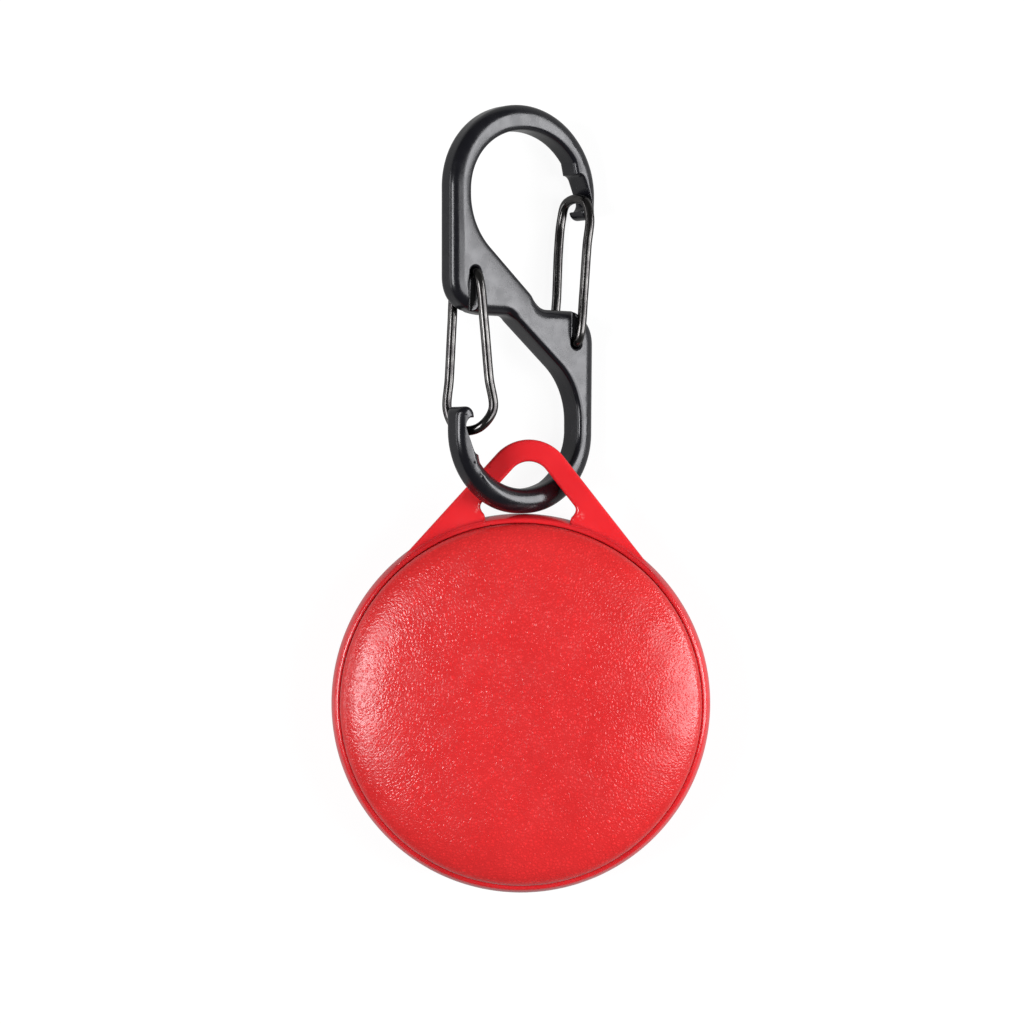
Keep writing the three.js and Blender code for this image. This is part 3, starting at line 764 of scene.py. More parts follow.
@dataclass
class RoundedPlate:
    """A plate cut from an outline, its faces rounded off towards every edge.

    The faces are one height over the outline: half the thickness, less what the rounded edge
    takes off near the rim, near each cut-out and in each groove. The rim is a wall of quads.
    """

    half: float
    edge: float
    cut_edge: float = 0.22
    step: float = 0.12
    cell: float = 0.5
    wall_rows: int = 4
    edge_rows: int = 9
    cut_rows: int = 5
    clear: float = 0.012
    follow_share: float = 0.96
    grid_share: float = 1.15
    groove_shares: tuple[float, ...] = (1.06, 1.0, 0.9, 0.8, 0.7, 0.6, 0.5, 0.4, 0.3, 0.15)

    def rows(self, radius: float, count: int) -> Array:
        """Distances from an edge to sample at: the radius times one less a cosine of equal steps."""
        return radius * (1 - np.cos(np.linspace(0, np.pi / 2, count)[1:]))

    def inner_points(self, outline: Array, cuts: list[Groove], grooves: list[Groove],
                     extra: Array | None) -> Array:
        """Points for the face within its rim: rows along the edges and tracks, and a square grid.

        A row's points stay only where nothing else of the outline is closer than their own side.

        Args:
            outline: The rim's loop.
            cuts: Cut-outs that go right through.
            grooves: Tracks sunk into both faces.
            extra: More points, such as where a fillet starts.

        Returns:
            The points, clear of every edge.
        """
        kept = []
        for distance in (*self.rows(self.edge, self.edge_rows), self.edge + self.cell / 2):
            row = offset_loop(outline, distance)
            far = loop_distance(row, outline) > self.follow_share * distance
            kept.append(row[far & loop_inside(row, outline)])
        for cut in cuts:
            kept += [cut.loop(cut.radius + distance, self.step)
                     for distance in self.rows(self.cut_edge, self.cut_rows)]
        for groove in grooves:
            kept += [groove.loop(groove.radius * share, self.step) for share in self.groove_shares]
        low, high = outline.min(0), outline.max(0)
        grid = np.stack(np.meshgrid(np.arange(low[0], high[0], self.cell),
                                    np.arange(low[1], high[1], self.cell)), -1).reshape(-1, 2)
        far = loop_distance(grid, outline) > self.edge * self.grid_share
        kept.append(grid[far & loop_inside(grid, outline)])
        if extra is not None:
            kept.append(extra)
        loose = np.vstack(kept)
        good = loop_inside(loose, outline) & (loop_distance(loose, outline) > self.clear)
        for cut in cuts:
            good &= cut.distance(loose) > self.clear
        return loose[good]

    def triangles(self, loops: list[Array], loose: Array) -> tuple[Array, Array]:
        """Joins points to triangles that keep to the rim and the cut-outs.

        Args:
            loops: The rim's loop, then one for each cut-out.
            loose: The points between them.

        Returns:
            Flat points and triangles.
        """
        starts = np.cumsum([0] + [len(loop) for loop in loops])
        rings = [list(range(a, b)) for a, b in zip(starts[:-1], starts[1:])]
        sides = [(ring[i], ring[(i + 1) % len(ring)]) for ring in rings for i in range(len(ring))]
        verts, _, faces, _, _, owners = delaunay_2d_cdt(
            [Vector(p) for p in np.vstack([*loops, loose])], sides, rings, 0, 1e-5)
        flat = np.array([tuple(v) for v in verts])
        inner = np.array([face for face, own in zip(faces, owners) if own == [0]])
        used, inner = np.unique(inner, return_inverse=True)
        return flat[used], inner.reshape(-1, 3)

    def build(self, name: str, outline: Array, cuts: list[Groove] = (),
              grooves: list[Groove] = (), extra: Array | None = None,
              raised: Callable[[Array, Array], Array] | None = None,
              edges: Array | None = None) -> tuple[Array, Array]:
        """Works out the plate's corners and triangles.

        Args:
            name: What the log calls it.
            outline: The rim as a loop that runs anticlockwise.
            cuts: Cut-outs that go right through.
            grooves: Tracks sunk into both faces.
            extra: More points for the faces, such as where a fillet starts.
            raised: A function from points and heights to new heights.
            edges: The rounding's radius at each point of the outline, where it isn't one value.

        Returns:
            Corners and triangles.
        """
        loops = [outline] + [cut.loop(cut.radius, self.step) for cut in cuts]
        flat, faces = self.triangles(loops, self.inner_points(outline, cuts, grooves, extra))
        away, owner = loop_nearest(flat, outline)
        height = self.half - rounding(away, self.edge if edges is None else edges[owner])
        for cut in cuts:
            height = np.minimum(height, self.half - rounding(np.abs(cut.distance(flat)), self.cut_edge))
        for groove in grooves:
            share = np.clip(1 + groove.distance(flat) / groove.radius, 0, 1)
            height = np.minimum(height, self.half - groove.depth * (1 + np.cos(np.pi * share)) / 2)
        if raised is not None:
            height = raised(flat, height)
        return self.closed(flat, height, faces, name)

    def closed(self, flat: Array, height: Array, faces: Array,
               name: str) -> tuple[Array, Array]:
        """Joins the upper face, its mirror image below and the wall between them.

        Args:
            flat: The upper face's points, seen from above.
            height: Each point's height.
            faces: The upper face's triangles.
            name: What the log calls it.

        Returns:
            Corners and triangles of the closed plate.
        """
        count = len(flat)
        edges = np.vstack([faces[:, [0, 1]], faces[:, [1, 2]], faces[:, [2, 0]]])
        keys = np.sort(edges, 1)
        _, first, times = np.unique(keys, axis=0, return_index=True, return_counts=True)
        rim = edges[first[times == 1]]
        on_rim, local = np.unique(rim, return_inverse=True)
        local = local.reshape(-1, 2)
        levels = np.linspace(1, -1, self.wall_rows + 1)[1:-1]
        upper = np.column_stack([flat, height])
        lower = np.column_stack([flat, -height])
        middle = [np.column_stack([flat[on_rim], height[on_rim] * level]) for level in levels]
        corners = np.vstack([upper, lower, *middle])
        starts = [None] + [2 * count + k * len(on_rim) for k in range(len(levels))] + [None]

        def row(k: int, side: int) -> Array:
            """Corner numbers of one level of the wall.

            Args:
                k: The level, counted from the top.
                side: 0 for where each rim edge starts, 1 for where it ends.

            Returns:
                One corner number for each rim edge.
            """
            if k == 0:
                return rim[:, side]
            if k == len(levels) + 1:
                return rim[:, side] + count
            return local[:, side] + starts[k]

        triangles = [faces, faces[:, ::-1] + count]
        for k in range(len(levels) + 1):
            a, b, c, d = row(k, 0), row(k, 1), row(k + 1, 0), row(k + 1, 1)
            triangles += [np.stack([b, a, c], 1), np.stack([b, c, d], 1)]
        LOG.info("%s: %d corners, rim of %d", name, len(corners), len(on_rim))
        return corners, np.vstack(triangles)


def smooth_route(points: Array, per_span: int) -> Array:
    """A centripetal curve through points: each span is blended from its four nearest points.

    Times between points grow as the square root of their distance, and the pyramid of linear
    blends over those times gives the curve.

    Args:
        points: Points that the curve goes through.
        per_span: Points of the curve from one to the next.

    Returns:
        The curve's points.
    """
    ends = np.vstack([2 * points[0] - points[1], points, 2 * points[-1] - points[-2]])
    pieces = []
    for k in range(len(points) - 1):
        p = ends[k:k + 4]
        t = np.concatenate([[0], np.cumsum(np.sqrt(np.linalg.norm(np.diff(p, axis=0), axis=1)))])
        s = np.linspace(t[1], t[2], per_span, endpoint=False)[:, None]

        def lerp(a: Array, b: Array, low: float, high: float) -> Array:
            """Straight blend of two curves over a span of time."""
            return a * (high - s) / (high - low) + b * (s - low) / (high - low)

        one, two, three = (lerp(p[i], p[i + 1], t[i], t[i + 1]) for i in range(3))
        pieces.append(lerp(lerp(one, two, t[0], t[2]), lerp(two, three, t[1], t[3]), t[1], t[2]))
    return np.vstack([*pieces, points[-1:]])


def wire(name: str, route: Array, radius: float, across: Array,
         sides: int = 24, dome_steps: int = 5) -> Object:
    """Carries a circle along a route, with domed ends.

    Each circle stands square to the route. Its first axis is the fixed direction `across` less
    its share along the route, and its second is square to both.

    Args:
        name: The object's name.
        route: Points in millimetres.
        radius: The wire's radius.
        across: A direction that the route never runs along.
        sides: Corners of each circle.
        dome_steps: Circles of each domed end.

    Returns:
        The closed wire.
    """
    along = unit(np.gradient(route, axis=0))
    first = unit(across - (along @ across)[:, None] * along)
    second = np.cross(along, first)
    turn = circle_angles(sides)
    dome = np.linspace(0, np.pi / 2, dome_steps, endpoint=False)
    scale = np.concatenate([np.sin(dome), np.ones(len(route)), np.sin(dome)[::-1]]) * radius
    spots = np.concatenate([np.zeros(len(dome), int), np.arange(len(route)),
                            np.full(len(dome), len(route) - 1)])
    push = np.concatenate([-np.cos(dome), np.zeros(len(route)), np.cos(dome)[::-1]]) * radius
    centre = route[spots] + push[:, None] * along[spots]
    corners = (centre[:, None] + scale[:, None, None] * (
        np.cos(turn)[None, :, None] * first[spots][:, None]
        + np.sin(turn)[None, :, None] * second[spots][:, None]))
    return weld(make_object(name, corners.reshape(-1, 3), grid_faces(len(spots), sides, False, True)))


def settle(made: Object, finish: Surface, body: str, slot: str,
           *nodes: str) -> Object:
    """Dresses a piece, lets it ride on its body and stand for its nodes, and reports it.

    Args:
        made: The finished piece.
        finish: Its finish.
        body: The body it moves with.
        slot: The record's material slot; not used.
        nodes: The nodes that it stands for.

    Returns:
        The piece.
    """
    made.data.materials.clear()
    made.data.materials.append(finish.value.material())
    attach(made, body)
    if nodes:
        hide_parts(*nodes)
    LOG.info("%s: %d faces, rides on %s", made.name, len(made.data.polygons), body)
    return made


# The case: millimetres and radians


@dataclass
class Case:
    """The clicker's body: ring, back shell, back pad and pressed face."""

    disc: float = 20.0
    lip_outer: float = 19.55
    lip_inner: float = 19.0
    leather: float = 18.93
    carrier: float = 18.05
    bore: float = 17.4
    deck_inner: float = 12.0
    parting: float = 3.3
    deck_bottom: float = 3.7
    deck_top: float = 4.9
    step_height: float = 6.4
    waist: float = 5.75
    lip_top: float = 8.15
    hem: float = 8.0
    crown_base: float = 8.8
    crown_rise: float = 3.2
    crown_power: float = 2.5
    film: float = 0.75
    lip_lean: float = 0.4
    lip_round: float = 0.45
    lip_inner_round: float = 0.135
    pad: float = 16.3
    pad_depth: float = 0.7
    recess: float = 16.5
    proud: float = 0.15
    rim: float = 17.05
    floor: float = 1.7
    seat_top: float = 3.0
    snap_seat: float = 2.0
    retainer: float = 11.45
    seat_wall: float = 8.5
    seat_ledge: float = 7.7
    segments: int = 288
    lip_height: float = 0.275
    hem_round: float = 0.12
    pad_edge: float = 0.3
    pad_margin: float = 0.35
    bevel: float = 0.05
    parting_gap: float = 0.04
    spigot_gap: float = 0.15
    spigot_wall: float = 0.8
    spigot_short: float = 0.1
    face_waves: tuple[float, float] = (0.06, 4.0)
    pad_waves: tuple[float, float] = (0.05, 4.0)
    round_step: float = 0.02
    lip_step: float = 0.015
    pad_step: float = 0.03
    face_rows: int = 110
    carrier_rows: int = 40
    pad_rows: int = 70
    shoulder_rows: int = 28
    wall_rows: int = 40
    wave_seed: int = 11
    wave_count: int = 14
    wave_shares: tuple[float, float] = (0.6, 1.8)
    wave_fade: float = 1.5

    def crown(self, radius: float, rise: float, steps: int) -> Array:
        """The crown from its middle out: a superellipse of radius and height above its base.

        Args:
            radius: Its outer radius.
            rise: Its height over its base.
            steps: How many points.

        Returns:
            Pairs of radius and height.
        """
        t = np.linspace(0, np.pi / 2, steps)
        share = 2 / self.crown_power
        across, up = np.sin(t) ** share, np.clip(np.cos(t), 0, 1) ** share
        return np.stack([radius * across, self.crown_base + rise * up], -1)

    def ripples(self, profile: Array, depth: float, length: float) -> Array:
        """Slow waves of a skin over its base: a sum of sines in random directions.

        The waves fade out at the skin's rim.

        Args:
            profile: Radius and height of the skin's circles.
            depth: Height of the whole sum.
            length: Typical wavelength.

        Returns:
            Extra height, one row for each circle.
        """
        draw = np.random.default_rng(self.wave_seed)
        angle = circle_angles(self.segments)
        x, y = profile[:, :1] * np.cos(angle), profile[:, :1] * np.sin(angle)
        total = np.zeros_like(x)
        for _ in range(self.wave_count):
            turn, phase = draw.uniform(0, 2 * np.pi, 2)
            rate = 2 * np.pi / (length * draw.uniform(*self.wave_shares))
            total += np.sin(rate * (x * np.cos(turn) + y * np.sin(turn)) + phase)
        fade = np.clip((self.leather - profile[:, :1]) / self.wave_fade, 0, 1)
        return depth * total / self.wave_count * fade

    def face(self) -> Object:
        """The leather face: a crowned skin wrapped round its carrier's edge.

        Returns:
            The piece.
        """
        outside = self.crown(self.leather, self.crown_rise, self.face_rows)[::-1]
        inside = self.crown(self.carrier, self.crown_rise - self.film, self.carrier_rows)
        turn_in = arc((self.leather - self.hem_round, self.hem + self.hem_round), self.hem_round,
                      -np.pi / 2, 0, self.round_step)
        profile = np.vstack([inside, [[self.carrier, self.hem]], turn_in, outside])
        lift = np.zeros((len(profile), self.segments))
        lift[-len(outside):] = self.ripples(outside, *self.face_waves)
        return settle(turned("leather_face", profile, self.segments, lift), Surface.LEATHER,
                      "button", "leather", "front_leather")

    def back_pad(self) -> Object:
        """The leather pad let into the back, its edge rounded where it was cut and pressed.

        Returns:
            The piece.
        """
        edge = arc((self.pad - self.pad_edge, self.pad_edge), self.pad_edge, -np.pi / 2, 0,
                   self.pad_step)
        across = np.linspace(0, self.pad - self.pad_margin, self.pad_rows)
        disc = np.stack([across, np.zeros_like(across)], -1)
        profile = np.vstack([disc, edge, [[self.pad, self.pad_depth], [0, self.pad_depth]]])
        lift = np.zeros((len(profile), self.segments))
        lift[:len(disc)] = np.abs(self.ripples(disc, *self.pad_waves))
        return settle(turned("leather_back", profile, self.segments, lift), Surface.LEATHER,
                      "case", "leather", "back_leather")

    def shell(self) -> Object:
        """The back shell: recess for the pad, a quarter-ellipse shoulder, spigot, floor and seat.

        Returns:
            The piece.
        """
        t = np.linspace(0, np.pi / 2, self.shoulder_rows)
        rise = self.parting - self.parting_gap - self.proud
        shoulder = np.stack([self.rim + (self.lip_outer - self.rim) * np.sin(t),
                             self.proud + rise * (1 - np.cos(t))], -1)
        lip = arc((self.recess + self.hem_round, self.proud + self.hem_round), self.hem_round,
                  -np.pi, -np.pi / 2, self.round_step)
        spigot, top = self.bore - self.spigot_gap, self.deck_bottom - self.spigot_short
        inside = spigot - self.spigot_wall
        profile = np.vstack([
            [[0, self.pad_depth], [self.recess, self.pad_depth]], lip, shoulder,
            [[self.lip_outer - self.bevel, self.parting], [spigot, self.parting],
             [spigot, top], [inside, top], [inside, self.floor], [self.retainer, self.floor],
             [self.retainer, self.seat_top], [self.seat_wall, self.seat_top],
             [self.seat_wall, self.snap_seat], [self.seat_ledge, self.snap_seat],
             [self.seat_ledge, self.floor], [0, self.floor]]])
        made = turned("back_shell", profile, self.segments)
        crease(made)
        return settle(made, Surface.GLOSS, "case", "case_plastic", "back_cover")

    def barrel(self, height: Array) -> Array:
        """The ring's outer radius at a height: the disc's, less a square law from the waist.

        Args:
            height: Heights over the floor.

        Returns:
            One radius for each height.
        """
        up = self.lip_top - self.lip_height - self.waist
        down = self.waist - self.parting
        share = np.abs(height - self.waist) / np.where(height < self.waist, down, up)
        return self.disc - (self.disc - self.lip_outer) * np.clip(share, 0, 1) ** 2

    def ring(self) -> Object:
        """The outer ring: deck, bore, a shallow barrel outside and a small round lip.

        Returns:
            The ring, before the lug is joined to it.
        """
        height = np.linspace(self.parting + self.bevel, self.lip_top - self.lip_height,
                             self.wall_rows)
        wall = np.stack([self.barrel(height), height], -1)
        r, small, lean = self.lip_round, self.lip_inner_round, self.lip_lean
        middle = (self.lip_outer - r * math.cos(lean), self.lip_top - r)
        outer = arc(middle, r, lean, np.pi / 2, self.round_step)
        inner = arc((self.lip_inner + small, self.lip_top - small), small, np.pi / 2, np.pi,
                    self.lip_step)
        profile = np.vstack([
            [[self.deck_inner, self.deck_bottom], [self.bore, self.deck_bottom],
             [self.bore, self.parting], [self.lip_outer - self.bevel, self.parting]],
            wall, outer, inner,
            [[self.lip_inner, self.step_height], [self.bore, self.step_height],
             [self.bore, self.deck_top], [self.deck_inner, self.deck_top]]])
        made = turned("ring", profile, self.segments)
        crease(made)
        return made


@dataclass
class Lug:
    """The hanging eye on the ring: a flat horseshoe whose straight sides meet the ring's circle."""

    thickness: float = 1.9
    middle: float = 6.7
    arch: float = 4.6
    bar: float = 2.3
    offset: float = 3.2
    half_angle: float = 0.87
    corner: float = 0.7
    edge: float = 0.35
    fillet: float = 0.4
    root_depth: float = 0.275
    reach_angle: float = 0.9
    step: float = 0.1
    cell: float = 0.4
    fillet_step: float = 0.12
    fillet_shares: tuple[float, ...] = (0.0, 0.06, 0.15, 0.3, 0.5, 0.75, 1.0)

    def outline(self, case: Case) -> Array:
        """The horseshoe: outer arch and tangent sides, feet in the ring, and the eye's own arch.

        Args:
            case: The case that it hangs on.

        Returns:
            The outline's points.
        """
        centre = case.disc + self.offset
        across, down = math.sin(self.half_angle), math.cos(self.half_angle)
        foot = centre * down + self.arch
        root = case.lip_outer - self.root_depth
        eye = self.arch - self.bar
        eye_half = self.arch + self.corner
        run = (eye_half - eye * across) / down
        knee = (eye_half, centre + eye * down - run * across)
        start = (knee[0] - self.corner * down, knee[1] + self.corner * across)
        stop = (eye_half - self.corner, knee[1] - self.corner)
        spread = math.asin((stop[0] - self.corner / 2) / root)
        upright = np.pi / 2

        def mirrored(point: tuple[float, float]) -> tuple[float, float]:
            """The same point on the left."""
            return -point[0], point[1]

        return even_loop([
            [(foot * across, foot * down)],
            arc((0, centre), self.arch, upright - self.half_angle, upright + self.half_angle),
            [(-foot * across, foot * down), (-root * across, root * down)],
            arc((0, 0), root, upright + self.half_angle, upright + spread),
            bend(mirrored(stop), mirrored(knee), mirrored(start)),
            arc((0, centre), eye, upright + self.half_angle, upright - self.half_angle),
            bend(start, knee, stop),
            arc((0, 0), root, upright - spread, upright - self.half_angle),
        ], self.step)

    def build(self, case: Case) -> Object:
        """The plate, flared up in a hollow quarter round where its faces meet the ring.

        Args:
            case: The case that it hangs on.

        Returns:
            The lug, in its place.
        """
        top = self.thickness / 2
        meet = float(case.barrel(np.array([self.middle + top + self.fillet / 2]))[0])

        def flare(points: Array, height: Array) -> Array:
            """Adds the fillet: a quarter circle in the distance from the ring's wall."""
            gap = np.clip(meet + self.fillet - np.linalg.norm(points, axis=1), 0, self.fillet)
            return height + self.fillet - np.sqrt(self.fillet ** 2 - gap ** 2)

        rows = [arc((0, 0), meet + self.fillet * share, np.pi / 2 - self.reach_angle,
                    np.pi / 2 + self.reach_angle, self.fillet_step) for share in self.fillet_shares]
        plate = RoundedPlate(top, self.edge, step=self.step, cell=self.cell)
        corners, faces = plate.build("lug", self.outline(case), extra=np.vstack(rows), raised=flare)
        corners[:, 2] += self.middle
        return make_object("lug", corners, faces)


def crease(made: Object, angle: float = 0.6) -> None:
    """Shades every edge sharper than an angle as a crease."""
    made.data.set_sharp_from_angle(angle=angle)


def joined(name: str, *parts: Object) -> Object:
    """Makes one object of several, all at the origin.

    Args:
        name: The new object's name.
        parts: The objects.

    Returns:
        The one object.
    """
    with bpy.context.temp_override(active_object=parts[0], selected_editable_objects=list(parts)):
        bpy.ops.object.join()
    parts[0].name = name
    parts[0].data.name = name
    return parts[0]


# The double hook: millimetres and radians


@dataclass
class Hook:
    """The double hook: a cast S with two eyes and a wire gate in each, in its own u, v, w frame."""

    thickness: float = 3.0
    edge: float = 1.35
    inner_edge: float = 0.5
    bow_edge: float = 1.49
    bow_inner_edge: float = 1.3
    bow_start: float = 2.0
    bow_run: float = 4.0
    bow_drop: float = 12.5
    bow_fall: float = 3.0
    ease: float = 0.13
    ease_width: float = 2.6
    upper_run: float = 12.3
    lower_run: float = 12.95
    upper: float = 9.05
    lower: float = 8.55
    upper_reach: float = 9.7
    lower_reach: float = 9.1
    upper_eye: float = 6.7
    lower_eye: float = 6.3
    upper_eye_reach: float = 7.6
    lower_eye_reach: float = 7.15
    upper_drop: float = 0.3
    lower_drop: float = 0.35
    upper_shift: float = 0.15
    upper_eye_shift: float = 0.5
    lower_eye_shift: float = 0.15
    lower_shift: float = 0.35
    column: float = 9.55
    upper_waist: float = 0.4
    lower_waist: float = 1.0
    web: float = 3.4
    corner_height: float = 3.6
    corner_drop: float = 0.9
    corner_width: float = 2.65
    foot_drop: float = 0.85
    foot_height: float = 3.05
    foot_bulge: float = 0.3
    foot_width: float = 4.4
    ledge_blend: float = 0.78
    upper_nose: float = 1.9
    lower_nose: float = 1.9
    nose_reach: float = 2.5
    nose_angle: float = 0.6
    notch: float = 0.9
    notch_inset: float = 0.2
    notch_below: float = 0.5
    notch_above: float = 0.3
    notch_lean: float = 0.9
    notch_run: float = 1.3
    wire: float = 0.5
    gate_half: float = 2.35
    face_gap: float = 0.12
    end_depth: float = 1.1
    pivot_inset: float = 2.75
    pivot_along: float = 3.4
    hole_gap: float = 0.15
    tip_drop: float = 0.25
    upper_notch_gap: float = 0.25
    lower_notch_gap: float = 0.2
    bend_radius: float = 2.2
    twist: float = 1.55
    bend_across: float = 0.4
    bend_drop: float = 0.22
    bend_through: float = 0.7
    relief: float = 0.9
    relief_depth: float = 0.95
    relief_run: float = 6.0
    relief_lean: float = 0.25
    lean: float = 0.037
    tilt: float = 0.681
    rest: float = 0.52
    crossing: float = 1.05
    side_shift: float = -0.3
    eye_floor: float = 19.5
    side_band: float = 0.05
    side_low: float = -0.4
    side_high: float = 0.2
    end_slope: float = 2
    end_start: float = 0.5
    average: int = 15
    hole_run: float = 1e-4
    step: float = 0.12
    cell: float = 0.22
    per_span: int = 16

    def axes(self) -> Array:
        """The u, v and w axes in the case's frame: a tilt about v, then a lean about the upright.

        Returns:
            The three axes, one row each.
        """
        c, s = math.cos(self.tilt), math.sin(self.tilt)
        a, b = math.cos(self.lean), math.sin(self.lean)
        spin = np.array([[a, -b, 0], [b, a, 0], [0, 0, 1]])
        return (spin @ np.array([[c, 0, s], [0, 1, 0], [-s, 0, c]])).T

    def placed(self, points: Array, lug: Lug) -> Array:
        """Points of the hook's own frame where the hook hangs in the lug.

        Args:
            points: Points in u, v and w.
            lug: The lug that the hook hangs in.

        Returns:
            The points in the case's frame.
        """
        a, b = math.cos(self.lean), math.sin(self.lean)
        x, y = self.side_shift, self.eye_floor + self.rest + self.lower_run + self.lower
        origin = np.array([a * x - b * y, b * x + a * y,
                           lug.middle + self.crossing * math.sin(self.tilt)])
        return origin + points @ self.axes()

    def web_side(self, shoulder: float, eye: float,
                 ledge: float) -> tuple[float, float, tuple[float, float]]:
        """One side of the web, tangent to an eye's arc.

        Args:
            shoulder: Height of the arc's centre over the middle.
            eye: The arc's radius.
            ledge: How far the ledge lies from the middle, towards the eye.

        Returns:
            The web's lean, where its slope meets the ledge, and where their blend starts.
        """
        lean = math.acos((self.web / 2 + eye) / shoulder)
        c, s = math.cos(lean), math.sin(lean)
        meet = (shoulder - eye * c - ledge) * c / s - eye * s
        return lean, meet, (meet - self.ledge_blend * c, ledge + self.ledge_blend * s)

    def outline(self) -> Array:
        """The S, anticlockwise: over the top, down the web, round the lower loop and back.

        Returns:
            The outline's points in u and v.
        """
        half = np.pi
        upper_eye, lower_eye = self.upper_run - self.upper_drop, self.lower_drop - self.lower_run
        left_inner = self.upper_eye_reach - self.upper_eye_shift
        right_inner = self.lower_eye_reach + self.lower_eye_shift
        above = self.web_side(upper_eye - self.upper_waist, left_inner, 0)
        below = self.web_side(-lower_eye - self.lower_waist, right_inner, self.foot_drop)
        foot = -self.foot_drop
        nose_tip, low_nose = self.upper_run - self.nose_reach, self.nose_reach - self.lower_run
        tip, low_tip = self.upper_nose / 2, self.lower_nose / 2
        left, right = self.upper_reach - self.upper_shift, self.upper_reach + self.upper_shift
        low_outer = self.lower_reach - self.lower_shift
        return even_loop([
            [(right, nose_tip + tip)],
            arc((self.upper_shift, self.upper_run), self.upper_reach, 0, half, tall=self.upper),
            bend((-left, self.foot_height), (-left, foot + self.foot_bulge),
                 (self.foot_width - left, foot)),
            bend((-below[1] - self.ledge_blend, foot), (-below[1], foot),
                 (-below[2][0], -below[2][1])),
            arc((0, lower_eye + self.lower_waist), right_inner, half / 2 - below[0], 0),
            arc((self.lower_eye_shift, lower_eye), self.lower_eye_reach, 0, self.nose_angle - half,
                tall=self.lower_eye),
            arc((-low_outer + low_tip, low_nose - low_tip), low_tip, 0, half),
            arc((self.lower_shift, -self.lower_run), self.lower_reach, half, 2 * half,
                tall=self.lower),
            bend((self.column, -self.corner_height), (self.column, -self.corner_drop),
                 (self.column - self.corner_width, 0)),
            bend((above[1] + self.ledge_blend, 0), (above[1], 0), above[2]),
            arc((0, upper_eye - self.upper_waist), left_inner, 1.5 * half - above[0], half),
            arc((self.upper_eye_shift, upper_eye), self.upper_eye_reach, half, self.nose_angle,
                tall=self.upper_eye),
            arc((right - tip, nose_tip + tip), tip, half, 2 * half),
        ], self.step)

    def pivot(self, side: int) -> tuple[float, float]:
        """Centre of a pivot hole.

        Args:
            side: 1 for the upper gate's, -1 for the lower one's.

        Returns:
            Its u and v.
        """
        outer = self.column if side > 0 else self.upper_reach - self.upper_shift
        across = outer - self.pivot_inset
        return side * across, -side * self.pivot_along

    def notch_place(self, side: int) -> float:
        """How far out of the middle a nose's notch lies.

        Args:
            side: 1 for the upper nose, -1 for the lower.

        Returns:
            Its distance from the middle, along u.
        """
        if side > 0:
            return self.upper_reach + self.upper_shift - self.upper_nose + self.notch_inset
        return self.lower_reach - self.lower_shift - self.lower_nose + self.notch_inset

    def edges(self, outline: Array) -> Array:
        """How widely each point of the outline is rounded: amply outside, less towards an eye.

        A point's outward normal is compared with the direction to its own eye's centre. The
        cosine goes from outside to inside by a smooth step. Nothing near the middle line counts
        as inside, the noses' ends do, and the result is averaged along the outline. The lower
        bow, past a height and left of a line, has wider roundings of its own.

        Args:
            outline: The outline's points.

        Returns:
            One radius for each point.
        """
        across, up = outline[:, 0], outline[:, 1]
        along = np.roll(outline, -1, 0) - np.roll(outline, 1, 0)
        normal = unit(np.stack([along[:, 1], -along[:, 0]], -1))
        split = self.foot_drop + self.side_band
        centre = np.where(outline[:, 1:] > -split, [[self.upper_eye_shift, self.upper_run]],
                          [[self.lower_eye_shift, -self.lower_run]])
        cosine = (unit(centre - outline) * normal).sum(1)
        share = np.clip((cosine - self.side_low) / (self.side_high - self.side_low), 0, 1)
        share = smooth(share) * (np.abs(up) > split)
        end = np.clip(-self.end_slope * normal[:, 1] * np.sign(up) - self.end_start, 0, 1)
        share = np.maximum(share, end * (np.abs(up) > self.lower_reach / 2))
        side = self.average // 2
        share = np.convolve(np.concatenate([share[-side:], share, share[:side]]),
                            np.ones(self.average) / self.average, "valid")
        bow = smooth(np.clip((self.bow_start + self.bow_run - across) / self.bow_run, 0, 1))
        bow = bow * np.clip((-up - self.bow_drop) / self.bow_fall, 0, 1)
        outer = self.edge + (self.bow_edge - self.edge) * bow
        inner = self.inner_edge + (self.bow_inner_edge - self.inner_edge) * bow
        return outer + (inner - outer) * share

    def body(self, lug: Lug) -> Object:
        """The casting: rounded faces, a notch in each nose, pivot holes and relief tracks.

        Args:
            lug: The lug that the hook hangs in.

        Returns:
            The piece.
        """
        cuts, grooves = [], []
        for side, tip in ((1, self.upper_run - self.tip_drop), (-1, self.lower_run)):
            across = side * self.notch_place(side)
            cuts.append(Groove((across, side * (tip - self.notch_below)),
                               (across - side * self.notch_lean,
                                side * (tip + self.notch_above + self.notch_run)), self.notch, 0))
            pivot = self.pivot(side)
            mouth = (pivot[0] + side * self.relief_lean, pivot[1] + side * self.relief_run)
            cuts.append(Groove(pivot, (pivot[0], pivot[1] + self.hole_run), self.wire + self.hole_gap, 0))
            grooves.append(Groove(pivot, mouth, self.relief, self.relief_depth))
        plate, outline = RoundedPlate(self.thickness / 2, self.edge, cell=self.cell), self.outline()
        edges = self.edges(outline)
        eye = outline[(edges < (self.edge + self.inner_edge) / 2) & (outline[:, 1] > 0)]

        def eased(points: Array, heights: Array) -> Array:
            """Lets the faces fall towards the upper eye, by the square of the closeness to it."""
            near = np.clip(1 - loop_distance(points, eye) / self.ease_width, 0, 1)
            return heights - self.ease * near ** 2

        corners, faces = plate.build("hook", outline, cuts, grooves, raised=eased, edges=edges)
        return settle(make_object("hook_casting", self.placed(corners, lug), faces), Surface.COAT,
                      "hook", "hook_paint", "hook_body")

